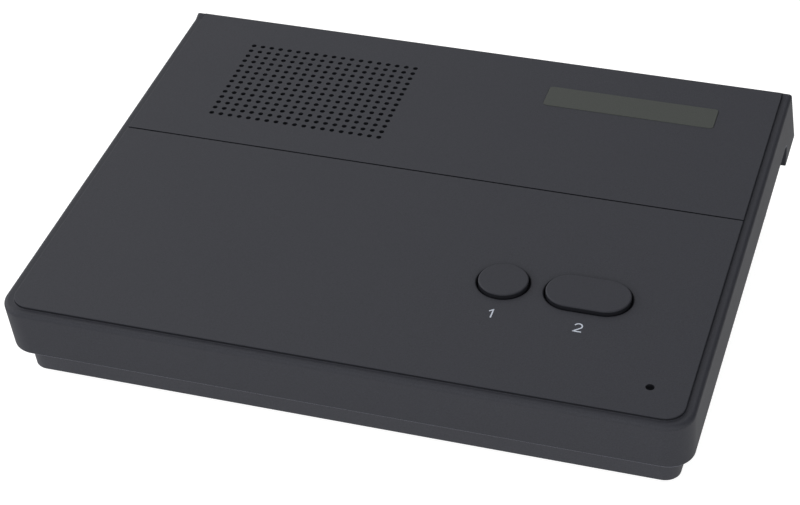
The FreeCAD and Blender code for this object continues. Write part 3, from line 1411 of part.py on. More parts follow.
def wire(label, start, end, path, diameter):
    """A wire in the upright plane through two table points.

    The path lists corners (along, up): along is a share of the plan distance between the points,
    up is a height above the start. Inner corners are rounded.
    """
    body = new_body(label)
    run = math.hypot((end[0] - start[0]).value, (end[1] - start[1]).value)
    points = [Vector(run * along, as_size(up).value, 0) for along, up in path]
    spine = sketch_on(body, "XZ_Plane", "spine")
    first = points[0]
    edges = 0
    for i in range(1, len(points)):
        last = points[i]
        if i < len(points) - 1:
            reach, leave, centre = corner_arc(points[i - 1], points[i], points[i + 1], s.wire_bend.value)
            spine.addGeometry(Part.LineSegment(first, reach))
            spine.addGeometry(arc_between(reach, leave, centre))
            edges += 2
            first = leave
        else:
            spine.addGeometry(Part.LineSegment(first, last))
            edges += 1
    spine.addConstraint([Sketcher.Constraint("Block", i) for i in range(edges)])
    section = sketch_on(body, "XY_Plane", "section")
    circle(section, 0, 0, diameter)
    doc.recompute()
    pipe = body.newObject("PartDesign::AdditivePipe", f"{label}_pipe")
    pipe.Profile = section
    pipe.Spine = (spine, [f"Edge{i + 1}" for i in range(edges)])
    body.Tip = pipe
    doc.recompute()
    turn = math.degrees(math.atan2((end[1] - start[1]).value, (end[0] - start[0]).value))
    base = Vector(start[0].value, start[1].value, start[2].value)
    body.Placement = FreeCAD.Placement(base, FreeCAD.Rotation(Vector(0, 0, 1), turn))
    for axis, length in zip("xyz", start):
        body.setExpression(f"Placement.Base.{axis}", length.formula)
    return body


def arc_between(first, last, centre):
    """The short arc about a centre between two points of a sketch."""
    middle = (first + last) / 2 - centre
    top = centre + middle.normalize() * first.distanceToPoint(centre)
    return Part.Arc(first, top, last)


def header_pin(name, index):
    """Top of one pin place of a wire header."""
    x, y, wires = HEADERS[name]
    return x + (index - (wires - 1) / 2) * s.header_pitch, as_size(y), main_top + s.header_height


def make_leads():
    """Leads from the board's headers to the loudspeaker, microphone, buttons and power socket."""
    speaker = []
    tag_z = sheet_bottom + s.terminal_thick + s.tag_reach
    for i, side in enumerate((-1, 1)):
        start = header_pin("speaker", i)
        y, z = table_point(s.grille_y + s.tag_pitch * side / 2, -tag_z)
        end = (s.grille_x + s.tag_place, y, z - s.end_gap)
        rise = end[2] - start[2]
        path = [(0, 0), (0, rise * 0.4), (1, rise * 0.62), (1, rise)]
        speaker.append(wire(f"speaker_wire_{i}", start, end, path, s.wire_diameter))

    microphone_y, microphone_z = table_point(s.mic_y, -(s.case_wall + s.boot_wall + s.capsule_height))
    start = header_pin("microphone", 0)
    end = (s.mic_x + 0, microphone_y, microphone_z - s.end_gap)
    run_level = floor_top + s.shield_diameter / 2 + 0.2 - start[2]
    path = [(0, 0), (0, 3.0), (0.14, 3.0), (0.14, run_level), (1, run_level), (1, end[2] - start[2])]
    shielded = wire("microphone_lead", start, end, path, s.shield_diameter)

    buttons = []
    for i in range(HEADERS["buttons"][2]):
        start = header_pin("buttons", i)
        case_y = s.button_y + s.key_post_y
        y, z = table_point(case_y, -board_top)
        end = (start[0], y, z + s.end_gap)
        path = [(0, 0), (0, 9.0), (1, 9.0), (1, end[2] - start[2])]
        buttons.append(wire(f"button_wire_{i}", start, end, path, s.wire_diameter))

    power = []
    for i in range(2):
        start = header_pin("power", i)
        end_x = s.power_x + (i - 1) * s.power_barrel * 0.38
        end = (end_x, wall_outer - s.power_length - 2 * i - s.wire_diameter, as_size(s.power_height))
        level = end[2] - start[2]
        path = [(0, 0), (0, 4.0), (0.5, 4.0), (0.5, level), (1, level)]
        power.append(wire(f"power_wire_{i}", start, end, path, s.wire_diameter))
    return [group("speaker_lead", speaker), shielded, group("button_lead", buttons),
            group("power_lead", power)]


def make_speaker_terminals():
    """Small board under the edge of the speaker flange, with two solder tags."""
    board = new_body("speaker_terminals")
    plate = sketch_on(board, "XY_Plane", "plate", -sheet_bottom - s.terminal_thick)
    middle = (s.terminal_inner + s.terminal_outer) / 2
    rectangle(plate, middle, 0, s.terminal_outer - s.terminal_inner, s.terminal_width)
    for side in (-1, 1):
        circle(plate, s.tag_place, s.tag_pitch * side / 2, s.pin_diameter)
    pad(board, "plate", plate, s.terminal_thick)
    place_in_case(board, s.grille_x, s.grille_y, 0)
    tags = []
    for side in (-1, 1):
        tag = new_body(f"tag_{'right' if side > 0 else 'left'}")
        low = -(sheet_bottom + s.terminal_thick + s.tag_reach)
        pin = sketch_on(tag, "XY_Plane", "pin", low)
        circle(pin, 0, 0, s.pin_diameter)
        pad(tag, "pin", pin, s.tag_reach + s.terminal_thick + 0.6)
        place_in_case(tag, s.grille_x + s.tag_place, s.grille_y + s.tag_pitch * side / 2, 0)
        tags.append(tag)
    return [board, group("solder_tags", tags)]


def make_power_socket():
    """Round power socket screwed into the rear wall: shell, centre pin and nut."""
    shell = new_body("power_socket")
    profile = sketch_on(shell, "XY_Plane", "profile")
    barrel, bore, flange = s.power_barrel / 2, s.power_bore / 2, s.power_flange / 2
    mouth = s.power_flange_thick
    outline(profile, [
        (bore, mouth),
        (flange, mouth, 0.4),
        (flange, 0),
        (barrel, 0),
        (barrel, -s.power_length),
        (s.power_pin / 2 + 0.01, -s.power_length),
        (s.power_pin / 2 + 0.01, mouth - s.power_deep),
        (bore, mouth - s.power_deep),
    ])
    revolve(shell, "turn", profile)
    place_on_table(shell, s.power_x, wall_outer, s.power_height)

    pin = new_body("power_socket_pin")
    rod = sketch_on(pin, "XY_Plane", "rod")
    outline(rod, [
        (0, mouth - 1.0),
        (s.power_pin / 2, mouth - 1.0, 0.5),
        (s.power_pin / 2, -s.power_length - 2),
        (0, -s.power_length - 2),
    ])
    revolve(pin, "turn", rod)
    place_on_table(pin, s.power_x, wall_outer, s.power_height)

    nut = new_body("power_socket_nut")
    side = sketch_on(nut, "XZ_Plane", "side", s.base_wall)
    corner_radius = s.nut_side / 2 / cosine(Size(30, "30"))
    points = []
    for i in range(6):
        angle = Size(60 * i, f"{60 * i}")
        points.append((corner_radius * cosine(angle), corner_radius * sine(angle)))
    outline(side, points)
    circle(side, 0, 0, s.power_barrel + s.running_gap * 2)
    pad(nut, "hexagon", side, s.nut_thick)
    place_on_table(nut, s.power_x, wall_outer, s.power_height)
    return [shell, pin, nut]


def make_line_socket():
    """Modular socket for the cable to the customer's side, with its latch slot below."""
    body = new_body("line_socket")
    block = sketch_on(body, "XZ_Plane", "block", -line_front)
    rectangle(block, s.line_x, main_top + s.line_height / 2, s.line_width, s.line_height)
    pad(body, "block", block, s.line_depth)
    mouth = sketch_on(body, "XZ_Plane", "mouth", -line_front)
    middle = main_top + s.line_lip + s.latch_height + s.line_mouth_height / 2
    rectangle(mouth, s.line_x, middle, s.line_mouth_width, s.line_mouth_height)
    pocket(body, "mouth", mouth, s.line_mouth_deep, reverse=True)
    latch = sketch_on(body, "XZ_Plane", "latch", -line_front)
    latch_middle = main_top + s.line_lip + s.latch_height / 2
    rectangle(latch, s.line_x, latch_middle + 0.1, s.latch_width, s.latch_height + 0.2)
    pocket(body, "latch", latch, s.line_mouth_deep * 0.6, reverse=True)
    place_on_table(body, 0, 0, 0)
    return body


def make_line_contacts():
    """Four sprung wires in the roof of the line socket."""
    wires = []
    roof = main_top + s.line_lip + s.latch_height + s.line_mouth_height
    for i in range(4):
        wire = new_body(f"contact_{i}")
        side = sketch_on(wire, "YZ_Plane", "side")
        root = line_front - s.line_mouth_deep
        outline(side, [
            (root + 0.05, roof - 0.05),
            (root + 0.05, roof - 2.4),
            (root + 0.45, roof - 2.4),
            (root + 7.5, roof - 0.45),
            (root + 7.5, roof - 0.05),
        ])
        pad(wire, "wire", side, 0.5, midplane=True)
        place_on_table(wire, s.line_x + (i - 1.5) * 1.3, 0, 0)
        wires.append(wire)
    return group("line_contacts", wires)


def make_audio_socket():
    """Small round audio socket: block on the board, nose through the rear wall."""
    body = new_body("audio_socket")
    axis_z = main_top + s.audio_height / 2
    block = sketch_on(body, "XZ_Plane", "block", -(wall_inner - s.panel_gap))
    rectangle(block, s.audio_x, axis_z, s.audio_width, s.audio_height)
    pad(body, "block", block, s.audio_depth)
    nose = sketch_on(body, "XZ_Plane", "nose", -line_front)
    circle(nose, s.audio_x, axis_z, s.audio_nose)
    pad(body, "nose", nose, s.base_wall + s.socket_stand + s.panel_gap + 0.5)
    bore = sketch_on(body, "XZ_Plane", "bore", -line_front)
    circle(bore, s.audio_x, axis_z, s.audio_bore)
    pocket(body, "bore", bore, s.audio_depth + s.base_wall, reverse=True)
    place_on_table(body, 0, 0, 0)
    return body


def make_volume_control(name, x):
    """Rotary control under a knurled wheel whose edge stands out of the rear wall."""
    base = new_body(f"{name}_volume_control")
    block = sketch_on(base, "XY_Plane", "block", main_top)
    rectangle(block, 0, 0, s.control_side, s.control_side, 0.5)
    pad(base, "block", block, s.control_height)
    bore = sketch_on(base, "XY_Plane", "bore", control_top)
    circle(bore, 0, 0, s.control_shaft + s.running_gap * 4)
    pocket(base, "bore", bore, s.control_height - 0.8)
    place_on_table(base, x, wheel_y, 0)

    wheel = new_body(f"{name}_volume_wheel")
    disc = sketch_on(wheel, "XY_Plane", "disc", wheel_bottom)
    circle(disc, 0, 0, s.wheel_diameter)
    pad(wheel, "disc", disc, s.wheel_thick)
    notch = sketch_on(wheel, "XY_Plane", "notch", wheel_bottom)
    circle(notch, 0, s.wheel_diameter / 2, s.notch_diameter)
    first = pocket(wheel, "notch", notch, s.wheel_thick, reverse=True)
    ring = wheel.newObject("PartDesign::PolarPattern", f"{wheel.Name}_notches")
    ring.Originals = [first]
    ring.Axis = (notch, ["N_Axis"])
    ring.Angle = 360
    ring.Occurrences = int(s.wheel_notches.value)
    ring.setExpression("Occurrences", s.wheel_notches.formula)
    wheel.Tip = ring
    doc.recompute()
    shaft = sketch_on(wheel, "XY_Plane", "shaft", wheel_bottom + s.wheel_thick / 2)
    circle(shaft, 0, 0, s.control_shaft)
    pad(wheel, "shaft", shaft, s.wheel_thick / 2 + s.wheel_lift + s.control_height - 1.2, reverse=True)
    mark = sketch_on(wheel, "XY_Plane", "mark", wheel_top)
    rectangle(mark, 0, s.wheel_diameter * 0.33, 0.8, s.wheel_diameter * 0.2)
    pocket(wheel, "mark", mark, 0.3)
    place_on_table(wheel, x, wheel_y, 0)
    return [base, wheel]


# ------------------------------------------------------------------------------------------------
# The whole console
# ------------------------------------------------------------------------------------------------
def make_buttons():
    """Both push buttons with their plungers, springs, switches and board."""
    nodes = []
    for name, x, length, lip in (("privacy", s.privacy_x, None, None),
                                 ("call", s.call_x, s.call_length, call_flange)):
        nodes.append(make_cap(f"{name}_button", x, length, lip))
        nodes.append(make_plunger(f"{name}_plunger", x))
        nodes.append(make_spring(f"{name}_spring", x))
        nodes.append(make_switch(f"{name}_switch", x))
    nodes.append(make_button_board())
    return nodes


def make_console():
    """Every node of the console."""
    nodes = [make_top_housing(), make_bottom_cover(), make_name_badge(), make_rubber_feet()]
    nodes += make_buttons()
    nodes.append(make_grille_cloth())
    nodes += make_speaker()
    nodes += make_speaker_terminals()
    nodes += make_microphone()
    nodes.append(make_main_board())
    nodes += make_components()
    nodes += make_leads()
    nodes += make_power_socket()
    nodes += [make_line_socket(), make_line_contacts(), make_audio_socket()]
    nodes += make_volume_control("inside", s.wheel_inside_x)
    nodes += make_volume_control("outside", s.wheel_outside_x)
    nodes += make_screws()
    return nodes


def check_document(nodes):
    """Stop if any object failed or any node's shape is missing or faulty."""
    for item in doc.Objects:
        if "Invalid" in item.State or "Error" in item.State:
            raise RuntimeError(f"{item.Name} is {item.State}")
    for node in nodes:
        if node.Shape.isNull() or not node.Shape.isValid() or not node.Shape.Solids:
            raise RuntimeError(f"{node.Label} has no valid solid")


def write_parts(nodes):
    """Write each node's shape to its own STEP file."""
    os.makedirs("parts", exist_ok=True)
    for node in nodes:
        node.Shape.exportStep(f"parts/{node.Label}.step")
        count = len(node.Shape.Solids)
        print(f"{node.Label}: {count} solid(s), {node.Shape.Volume:.2f} mm3")


def main():
    nodes = make_console()
    doc.recompute()
    check_document(nodes)
    write_parts(nodes)


main()
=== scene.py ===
# %% [markdown]
# # A counter intercom console
#
# The real object is a flat wedge of charcoal plastic that stands on a shop counter. Its sloping
# top has a loudspeaker grille, a bare badge, a shallow cross groove, two push buttons and a
# microphone hole. The shapes come from a CAD model that is loaded below. What is left for
# Blender is how each surface looks, a few printed marks, the light and the camera.
#
# Everything is in metres in the CAD model's own frame: X to the right, Y away from the user,
# Z up, with the origin on the table under the middle of the case.

import json
import math

import bpy
import numpy as np
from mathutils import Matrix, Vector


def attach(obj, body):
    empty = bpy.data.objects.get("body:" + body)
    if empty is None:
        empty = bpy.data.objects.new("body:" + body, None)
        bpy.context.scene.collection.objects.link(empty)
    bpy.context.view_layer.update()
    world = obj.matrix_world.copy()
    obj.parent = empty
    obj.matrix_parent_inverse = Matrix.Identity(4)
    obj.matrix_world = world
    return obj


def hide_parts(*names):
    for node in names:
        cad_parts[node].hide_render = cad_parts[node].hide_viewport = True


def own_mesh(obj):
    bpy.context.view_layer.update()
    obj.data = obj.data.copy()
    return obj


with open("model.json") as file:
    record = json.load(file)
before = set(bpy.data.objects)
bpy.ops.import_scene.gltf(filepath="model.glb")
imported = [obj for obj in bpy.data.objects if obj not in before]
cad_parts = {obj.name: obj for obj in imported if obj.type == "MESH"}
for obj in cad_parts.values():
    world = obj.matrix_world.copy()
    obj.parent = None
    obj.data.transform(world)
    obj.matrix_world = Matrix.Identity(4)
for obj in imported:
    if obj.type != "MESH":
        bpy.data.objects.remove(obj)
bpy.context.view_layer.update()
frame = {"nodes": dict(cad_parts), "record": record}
nodes = frame["nodes"]
MM = 0.001

# %% [markdown]
# ## Two frames
#
# The top of the case slopes up to the rear, so it is easier to place a mark on it in a frame of
# its own: x to the right, y back along the raised panel from its front edge, z along its normal.
# A point of that case frame is turned by the slope and moved to the panel's front edge.

# %% The case frame
TILT = math.radians(5.87)
PANEL_FRONT = (-72.084 * MM, 23.2 * MM)
PANEL_DEPTH = 130.4 * MM


def from_case(points):
    """Case-frame points (n, 3) in metres, turned about X by the slope and moved to the panel."""
    points = np.asarray(points, float)
    turned = points.copy()
    turned[:, 1] = points[:, 1] * math.cos(TILT) - points[:, 2] * math.sin(TILT) + PANEL_FRONT[0]
    turned[:, 2] = points[:, 1] * math.sin(TILT) + points[:, 2] * math.cos(TILT) + PANEL_FRONT[1]
    return turned


def to_case(points):
    """The way back: points in the CAD frame as case-frame points."""
    points = np.asarray(points, float)
    back_by, up_by = points[:, 1] - PANEL_FRONT[0], points[:, 2] - PANEL_FRONT[1]
    along = back_by * math.cos(TILT) + up_by * math.sin(TILT)
    above = up_by * math.cos(TILT) - back_by * math.sin(TILT)
    return np.column_stack([points[:, 0], along, above])


print("panel's rear edge is at", (from_case([[0, PANEL_DEPTH, 0]])[0] / MM).round(1), "mm")

# %% [markdown]
# ## Building materials from nodes
#
# Every finish here starts from one Principled BSDF. Texture coordinates are the object's own, so
# a pattern has the same size on every piece and stays put when a button moves. Two short helpers
# keep the node code readable: one adds a node with its settings, one starts a material.


# %% Node helpers
RAMP_ENDS = (0.3, 0.7)


def add_node(tree, kind, inputs=None, **settings):
    """Add a node of that kind, set its properties and the values of its unlinked inputs."""
    node = tree.nodes.new(kind)
    for name, value in settings.items():
        setattr(node, name, value)
    for name, value in (inputs or {}).items():
        node.inputs[name].default_value = value
    return node


def start_material(name, colour, roughness, metallic=0.0, specular=0.5):
    """A Principled material with constant sockets; returns material, tree, shader, coordinates."""
    material = bpy.data.materials.new(name)
    material.use_nodes = True
    tree = material.node_tree
    shader = tree.nodes["Principled BSDF"]
    shader.inputs["Base Color"].default_value = (*colour, 1)
    shader.inputs["Roughness"].default_value = roughness
    shader.inputs["Metallic"].default_value = metallic
    shader.inputs["Specular IOR Level"].default_value = specular
    coordinates = add_node(tree, "ShaderNodeTexCoord").outputs["Object"]
    return material, tree, shader, coordinates


def linear(red, green, blue):
    """An sRGB colour of 0 to 255 as Blender's linear colour."""
    share = np.array([red, green, blue]) / 255
    return tuple(np.where(share <= 0.04045, share / 12.92, ((share + 0.055) / 1.055) ** 2.4))


def noise(tree, coordinates, size, detail=2.0):
    """Noise whose blobs are about that many metres across."""
    node = add_node(tree, "ShaderNodeTexNoise", {"Scale": 1 / size, "Detail": detail})
    tree.links.new(coordinates, node.inputs["Vector"])
    return node.outputs["Fac"]


def bump(tree, shader, height, depth):
    """Raise the surface by a height of 0 to 1 times a depth in metres."""
    node = add_node(tree, "ShaderNodeBump", {"Strength": 1.0, "Distance": depth})
    tree.links.new(height, node.inputs["Height"])
    tree.links.new(node.outputs["Normal"], shader.inputs["Normal"])


def between(tree, factor, first, second):
    """A colour that runs from first to second where most of a noise's values lie."""
    ramp = add_node(tree, "ShaderNodeValToRGB")
    for end, place, colour in zip(ramp.color_ramp.elements, RAMP_ENDS, (first, second)):
        end.position = place
        end.color = (*colour, 1)
    tree.links.new(factor, ramp.inputs["Fac"])
    return ramp.outputs["Color"]


def scaled(colour, factor):
    """A colour made lighter or darker."""
    return tuple(channel * factor for channel in colour)


print("an sRGB grey of 128 is", round(float(linear(128, 128, 128)[0]), 3), "in linear light")

# %% [markdown]
# ## Painted shade in seams and a painted highlight on edges
#
# The step round the panel, the gaps round the caps and the holes are darkened with painted shade,
# and the roundings under a wall are made paler as a painted highlight. This could be painted on
# by hand, with a map for each piece. Two measures that every surface already has do it instead:
# how open a point is, from the Ambient Occlusion node, and which way it faces, from its normal.
#
# A map range turns a measure into a share. Some of its limits are sockets themselves, so upright
# faces, the rim and the raised panel each have their own.

# %% Where the top is open, for the painted shade
CASE_UP = (0.0, -math.sin(TILT), math.cos(TILT))
RIM_DROP = 0.75 * MM
RIM_HEIGHT = PANEL_FRONT[1] * math.cos(TILT) - PANEL_FRONT[0] * math.sin(TILT) - RIM_DROP
SEAM_REACH = 2.5 * MM
SEAM_SAMPLES = 12

# Heights along the panel's normal between which the wall ends, and the panel begins.
WALL_TO_RIM = (RIM_HEIGHT - 0.7 * MM, RIM_HEIGHT - 0.2 * MM)
RIM_TO_PANEL = (RIM_HEIGHT + 0.2 * MM, RIM_HEIGHT + 0.5 * MM)
# Cosines to the panel's normal between which an upright face becomes a level one.
UPRIGHT_TO_LEVEL = (0.5, 0.9)
# Occlusion at which a face counts as closed and as open.
UPRIGHT_OPEN = (0.74, 0.95)
RIM_OPEN = (0.4, 0.7)
PANEL_OPEN = (0.5, 0.97)
# Share of the colour that a closed face keeps.
UPRIGHT_KEEPS = 0.45
LEVEL_KEEPS = 0.3


def along_case(tree, vector):
    """How far a vector socket reaches along the panel's normal."""
    node = add_node(tree, "ShaderNodeVectorMath", operation="DOT_PRODUCT")
    node.inputs[1].default_value = CASE_UP
    tree.links.new(vector, node.inputs[0])
    return node.outputs["Value"]


def from_to(tree, value, low, high, first, last):
    """A value socket mapped from low..high to first..last, each a number or a socket."""
    node = add_node(tree, "ShaderNodeMapRange")
    places = ("Value", "From Min", "From Max", "To Min", "To Max")
    for place, number in zip(places, (value, low, high, first, last)):
        if isinstance(number, float):
            node.inputs[place].default_value = number
        else:
            tree.links.new(number, node.inputs[place])
    return node.outputs["Result"]


def openness(tree, coordinates):
    """Painted shade: one where the top of the case is open to the sky, less in seams and at the foot of
    steps.

    Upright faces count as closed sooner than level ones but keep more of their colour, and below
    the rim nothing is darkened.
    """
    seam = add_node(tree, "ShaderNodeAmbientOcclusion", {"Distance": SEAM_REACH}, samples=SEAM_SAMPLES)
    facing = along_case(tree, add_node(tree, "ShaderNodeTexCoord").outputs["Normal"])
    height = along_case(tree, coordinates)
    level_low = from_to(tree, height, *RIM_TO_PANEL, RIM_OPEN[0], PANEL_OPEN[0])
    level_high = from_to(tree, height, *RIM_TO_PANEL, RIM_OPEN[1], PANEL_OPEN[1])
    low = from_to(tree, facing, *UPRIGHT_TO_LEVEL, UPRIGHT_OPEN[0], level_low)
    high = from_to(tree, facing, *UPRIGHT_TO_LEVEL, UPRIGHT_OPEN[1], level_high)
    least = from_to(tree, facing, *UPRIGHT_TO_LEVEL, UPRIGHT_KEEPS, LEVEL_KEEPS)
    opened = from_to(tree, seam.outputs["AO"], low, high, least, 1.0)
    return from_to(tree, height, *WALL_TO_RIM, 1.0, opened)


print("the rim lies", round(RIM_HEIGHT / MM, 2), "mm up along the panel's normal")

# %% [markdown]
# Painted shade multiplies the plastic's colour. A painted highlight mixes a paler colour in, where
# the surface turns from upright to facing down. The pores of an eroded surface don't shine, so a
# share of the surface is a plain Diffuse BSDF, and where shade is painted less of it shines.

# %% Painted shade, painted edge highlights and dull pores
# How many times paler than the plastic the painted highlight on roundings under a wall is.
HIGHLIGHT_PALER = 7.0
# Cosines to the panel's normal: the band of painted highlight fades in over one pair and out over the
# other.
HIGHLIGHT_FADES_IN = (-0.5, -0.3)
HIGHLIGHT_FADES_OUT = (-0.98, -0.9)
# A Mix node has sockets for every kind of data; these are its factor and its colour sockets.
MIX_FACTOR = 0
MIX_FIRST = 6
MIX_SECOND = 7
MIX_RESULT = 2


def painted_shade(tree, tint, opened):
    """Painted shade: darken a colour where the surface is less open."""
    darker = add_node(tree, "ShaderNodeMix", {MIX_FACTOR: 1.0}, data_type="RGBA", blend_type="MULTIPLY")
    tree.links.new(tint, darker.inputs[MIX_FIRST])
    tree.links.new(opened, darker.inputs[MIX_SECOND])
    return darker.outputs[MIX_RESULT]


def painted_highlight(tree, tint, pale):
    """Painted highlight: paler plastic on roundings that turn under a wall, facing down."""
    facing = along_case(tree, add_node(tree, "ShaderNodeTexCoord").outputs["Normal"])
    turning = from_to(tree, facing, *HIGHLIGHT_FADES_IN, 1.0, 0.0)
    below = from_to(tree, facing, *HIGHLIGHT_FADES_OUT, 0.0, turning)
    paler = add_node(tree, "ShaderNodeMix", {MIX_SECOND: (*pale, 1)}, data_type="RGBA")
    tree.links.new(below, paler.inputs[MIX_FACTOR])
    tree.links.new(tint, paler.inputs[MIX_FIRST])
    return paler.outputs[MIX_RESULT]


def mute(tree, shader, tint, shine, opened):
    """Let only a share of the surface shine: the rest is dull pores of the same colour. Painted shade
    also lowers the share.
    """
    pores = add_node(tree, "ShaderNodeBsdfDiffuse")
    tree.links.new(tint, pores.inputs["Color"])
    tree.links.new(shader.inputs["Normal"].links[0].from_socket, pores.inputs["Normal"])
    both = add_node(tree, "ShaderNodeMixShader", {"Fac": shine})
    if opened:
        share = add_node(tree, "ShaderNodeMath", {1: shine}, operation="MULTIPLY")
        tree.links.new(opened, share.inputs[0])
        tree.links.new(share.outputs["Value"], both.inputs["Fac"])
    tree.links.new(pores.outputs["BSDF"], both.inputs[1])
    tree.links.new(shader.outputs["BSDF"], both.inputs[2])
    tree.links.new(both.outputs["Shader"], tree.nodes["Material Output"].inputs["Surface"])


# Prints how many times paler the painted highlight is.
print("rubbed edges are", HIGHLIGHT_PALER, "times as pale")

# %% [markdown]
# ## Moulded plastic
#
# The case is moulded in a tool with an eroded surface, which leaves a very fine, even grain. The
# grain is noise about half a millimetre across, pressed into the normals, with a still finer
# noise that breaks up the colour a little. A slow noise makes the gloss drift by a few percent,
# as it does where hands touch the plastic. Rubber, foam, card and lacquer differ only in their
# numbers, so one function makes them all from a table.

# %% One moulded finish
SPECKLE_SIZE = 0.6
SPECKLE_DARK = 0.88
SPECKLE_PALE = 1.12
DRIFT_SIZE = 25 * MM
DRIFT_SMOOTHER = 0.03
DRIFT_DULLER = 0.04


def moulded(name, colour, roughness, grain, depth, specular=0.3, shine=1.0, seams=False):
    """Eroded plastic: grain bump, finer colour speckle and slowly drifting roughness.

    The grain's width and its depth are in millimetres.
    """
    material, tree, shader, coordinates = start_material(name, colour, roughness, specular=specular)
    grain = grain * MM
    bump(tree, shader, noise(tree, coordinates, grain), depth * MM)
    speckle = noise(tree, coordinates, grain * SPECKLE_SIZE)
    tint = between(tree, speckle, scaled(colour, SPECKLE_DARK), scaled(colour, SPECKLE_PALE))
    # Painted shade in the seams and a painted highlight on the roundings under the walls.
    opened = openness(tree, coordinates) if seams else None
    if opened:
        tint = painted_highlight(tree, painted_shade(tree, tint, opened), scaled(colour, HIGHLIGHT_PALER))
    tree.links.new(tint, shader.inputs["Base Color"])
    drift = add_node(tree, "ShaderNodeMapRange", {
        "To Min": roughness - DRIFT_SMOOTHER,
        "To Max": roughness + DRIFT_DULLER,
    })
    tree.links.new(noise(tree, coordinates, DRIFT_SIZE), drift.inputs["Value"])
    tree.links.new(drift.outputs["Result"], shader.inputs["Roughness"])
    if shine < 1:
        mute(tree, shader, tint, shine, opened)
    return material


print("speckle runs from", SPECKLE_DARK, "to", SPECKLE_PALE, "of the colour")

# %% Moulded finishes
# Colour in sRGB, roughness, grain and its depth in millimetres, specular, shining share, and seams:
# whether painted shade goes in the seams and a painted highlight on the roundings under the walls.
MOULDED = {
    "case_plastic": ((55, 56, 62), 0.42, 0.5, 0.016, 0.5, 0.35, True),
    "base_plastic": ((67, 68, 74), 0.42, 0.5, 0.016, 0.5, 0.35),
    "key_plastic": ((54, 55, 61), 0.42, 0.4, 0.008, 0.5, 0.35, True),
    "badge_plastic": ((68, 71, 68), 0.4, 0.3, 0.003, 0.5, 0.4),
    "socket_plastic": ((30, 30, 32), 0.45, 0.3, 0.004),
    "switch_plastic": ((40, 40, 42), 0.5, 0.3, 0.004),
    "wheel_plastic": ((38, 38, 40), 0.45, 0.3, 0.004),
    "plunger_plastic": ((222, 220, 210), 0.4, 0.3, 0.003),
    "header_plastic": ((226, 222, 208), 0.4, 0.3, 0.003),
    "chip_plastic": ((34, 34, 36), 0.6, 0.2, 0.006),
    "foot_rubber": ((38, 38, 38), 0.8, 0.6, 0.03, 0.2),
    "surround_rubber": ((36, 36, 36), 0.75, 0.5, 0.01),
    "boot_rubber": ((40, 40, 42), 0.8, 0.5, 0.02),
    "foam": ((50, 50, 50), 0.95, 0.5, 0.15, 0.1),
    "cone_paper": ((70, 66, 62), 0.9, 0.8, 0.05, 0.1),
    "cap_film": ((40, 40, 42), 0.3, 0.6, 0.002),
    "lead_sleeve": ((58, 58, 60), 0.5, 0.6, 0.004),
    "phenolic_board": ((150, 100, 60), 0.55, 0.8, 0.01),
    "ferrite": ((70, 70, 72), 0.6, 0.4, 0.02),
    "capacitor_can": ((50, 56, 92), 0.35, 1.0, 0.004),
}

finishes = {}
for name, (colour, *surface) in MOULDED.items():
    finishes[name] = moulded(name, linear(*colour), *surface)
print(f"{len(finishes)} moulded finishes")
for name in ("base_plastic", "case_plastic"):
    print(name, "has", len(finishes[name].node_tree.nodes), "nodes")

# %% [markdown]
# ## Metal, laminate and cloth
#
# Turned and drawn metal gets fine scratches along one direction, by stretching noise. The
# microphone's can is metal too, with black felt on the face that looks up the sound hole.


# %% Metal finishes
SCRATCH_SIZE = 1.5 * MM
SCRATCH_DETAIL = 4.0
SCRATCH_DEPTH = 0.004 * MM
SCRATCH_SMOOTHER = 0.08
SCRATCH_DULLER = 0.12
FELT_FACING = 0.9


def worked_metal(name, colour, roughness, stretch=(1, 1, 12)):
    """Metal with fine scratches: noise squeezed in one direction drives bump and roughness."""
    material, tree, shader, coordinates = start_material(name, colour, roughness, metallic=1.0)
    squeeze = add_node(tree, "ShaderNodeMapping", {"Scale": stretch})
    tree.links.new(coordinates, squeeze.inputs["Vector"])
    scratches = noise(tree, squeeze.outputs["Vector"], SCRATCH_SIZE, SCRATCH_DETAIL)
    bump(tree, shader, scratches, SCRATCH_DEPTH)
    drift = add_node(tree, "ShaderNodeMapRange", {
        "To Min": roughness - SCRATCH_SMOOTHER,
        "To Max": roughness + SCRATCH_DULLER,
    })
    tree.links.new(scratches, drift.inputs["Value"])
    tree.links.new(drift.outputs["Result"], shader.inputs["Roughness"])
    return material


def felt_faced(name, metal, roughness, felt):
    """A microphone can: bare metal all round, with felt on the face that looks up the hole."""
    material = worked_metal(name, metal, roughness)
    tree = material.node_tree
    normal = add_node(tree, "ShaderNodeTexCoord").outputs["Normal"]
    on_face = add_node(tree, "ShaderNodeMath", {1: FELT_FACING}, operation="GREATER_THAN")
    tree.links.new(along_case(tree, normal), on_face.inputs[0])
    fibres = add_node(tree, "ShaderNodeBsdfDiffuse", {"Color": (*felt, 1), "Roughness": 1.0})
    both = add_node(tree, "ShaderNodeMixShader")
    tree.links.new(on_face.outputs["Value"], both.inputs["Fac"])
    tree.links.new(tree.nodes["Principled BSDF"].outputs["BSDF"], both.inputs[1])
    tree.links.new(fibres.outputs["BSDF"], both.inputs[2])
    tree.links.new(both.outputs["Shader"], tree.nodes["Material Output"].inputs["Surface"])
    return material


# Colour in sRGB, roughness, and how much finer the noise is along X, Y and Z.
METALS = {
    "spring_steel": ((190, 190, 190), 0.3),
    "plate_steel": ((196, 194, 188), 0.35),
    "speaker_sheet": ((150, 152, 154), 0.4),
    "copper": ((200, 120, 80), 0.35, (1, 1, 30)),
    "plated_metal": ((215, 215, 215), 0.2),
    "contact_metal": ((222, 190, 110), 0.25),
    "control_metal": ((190, 190, 186), 0.35),
    "screw_steel": ((120, 120, 122), 0.35),
}

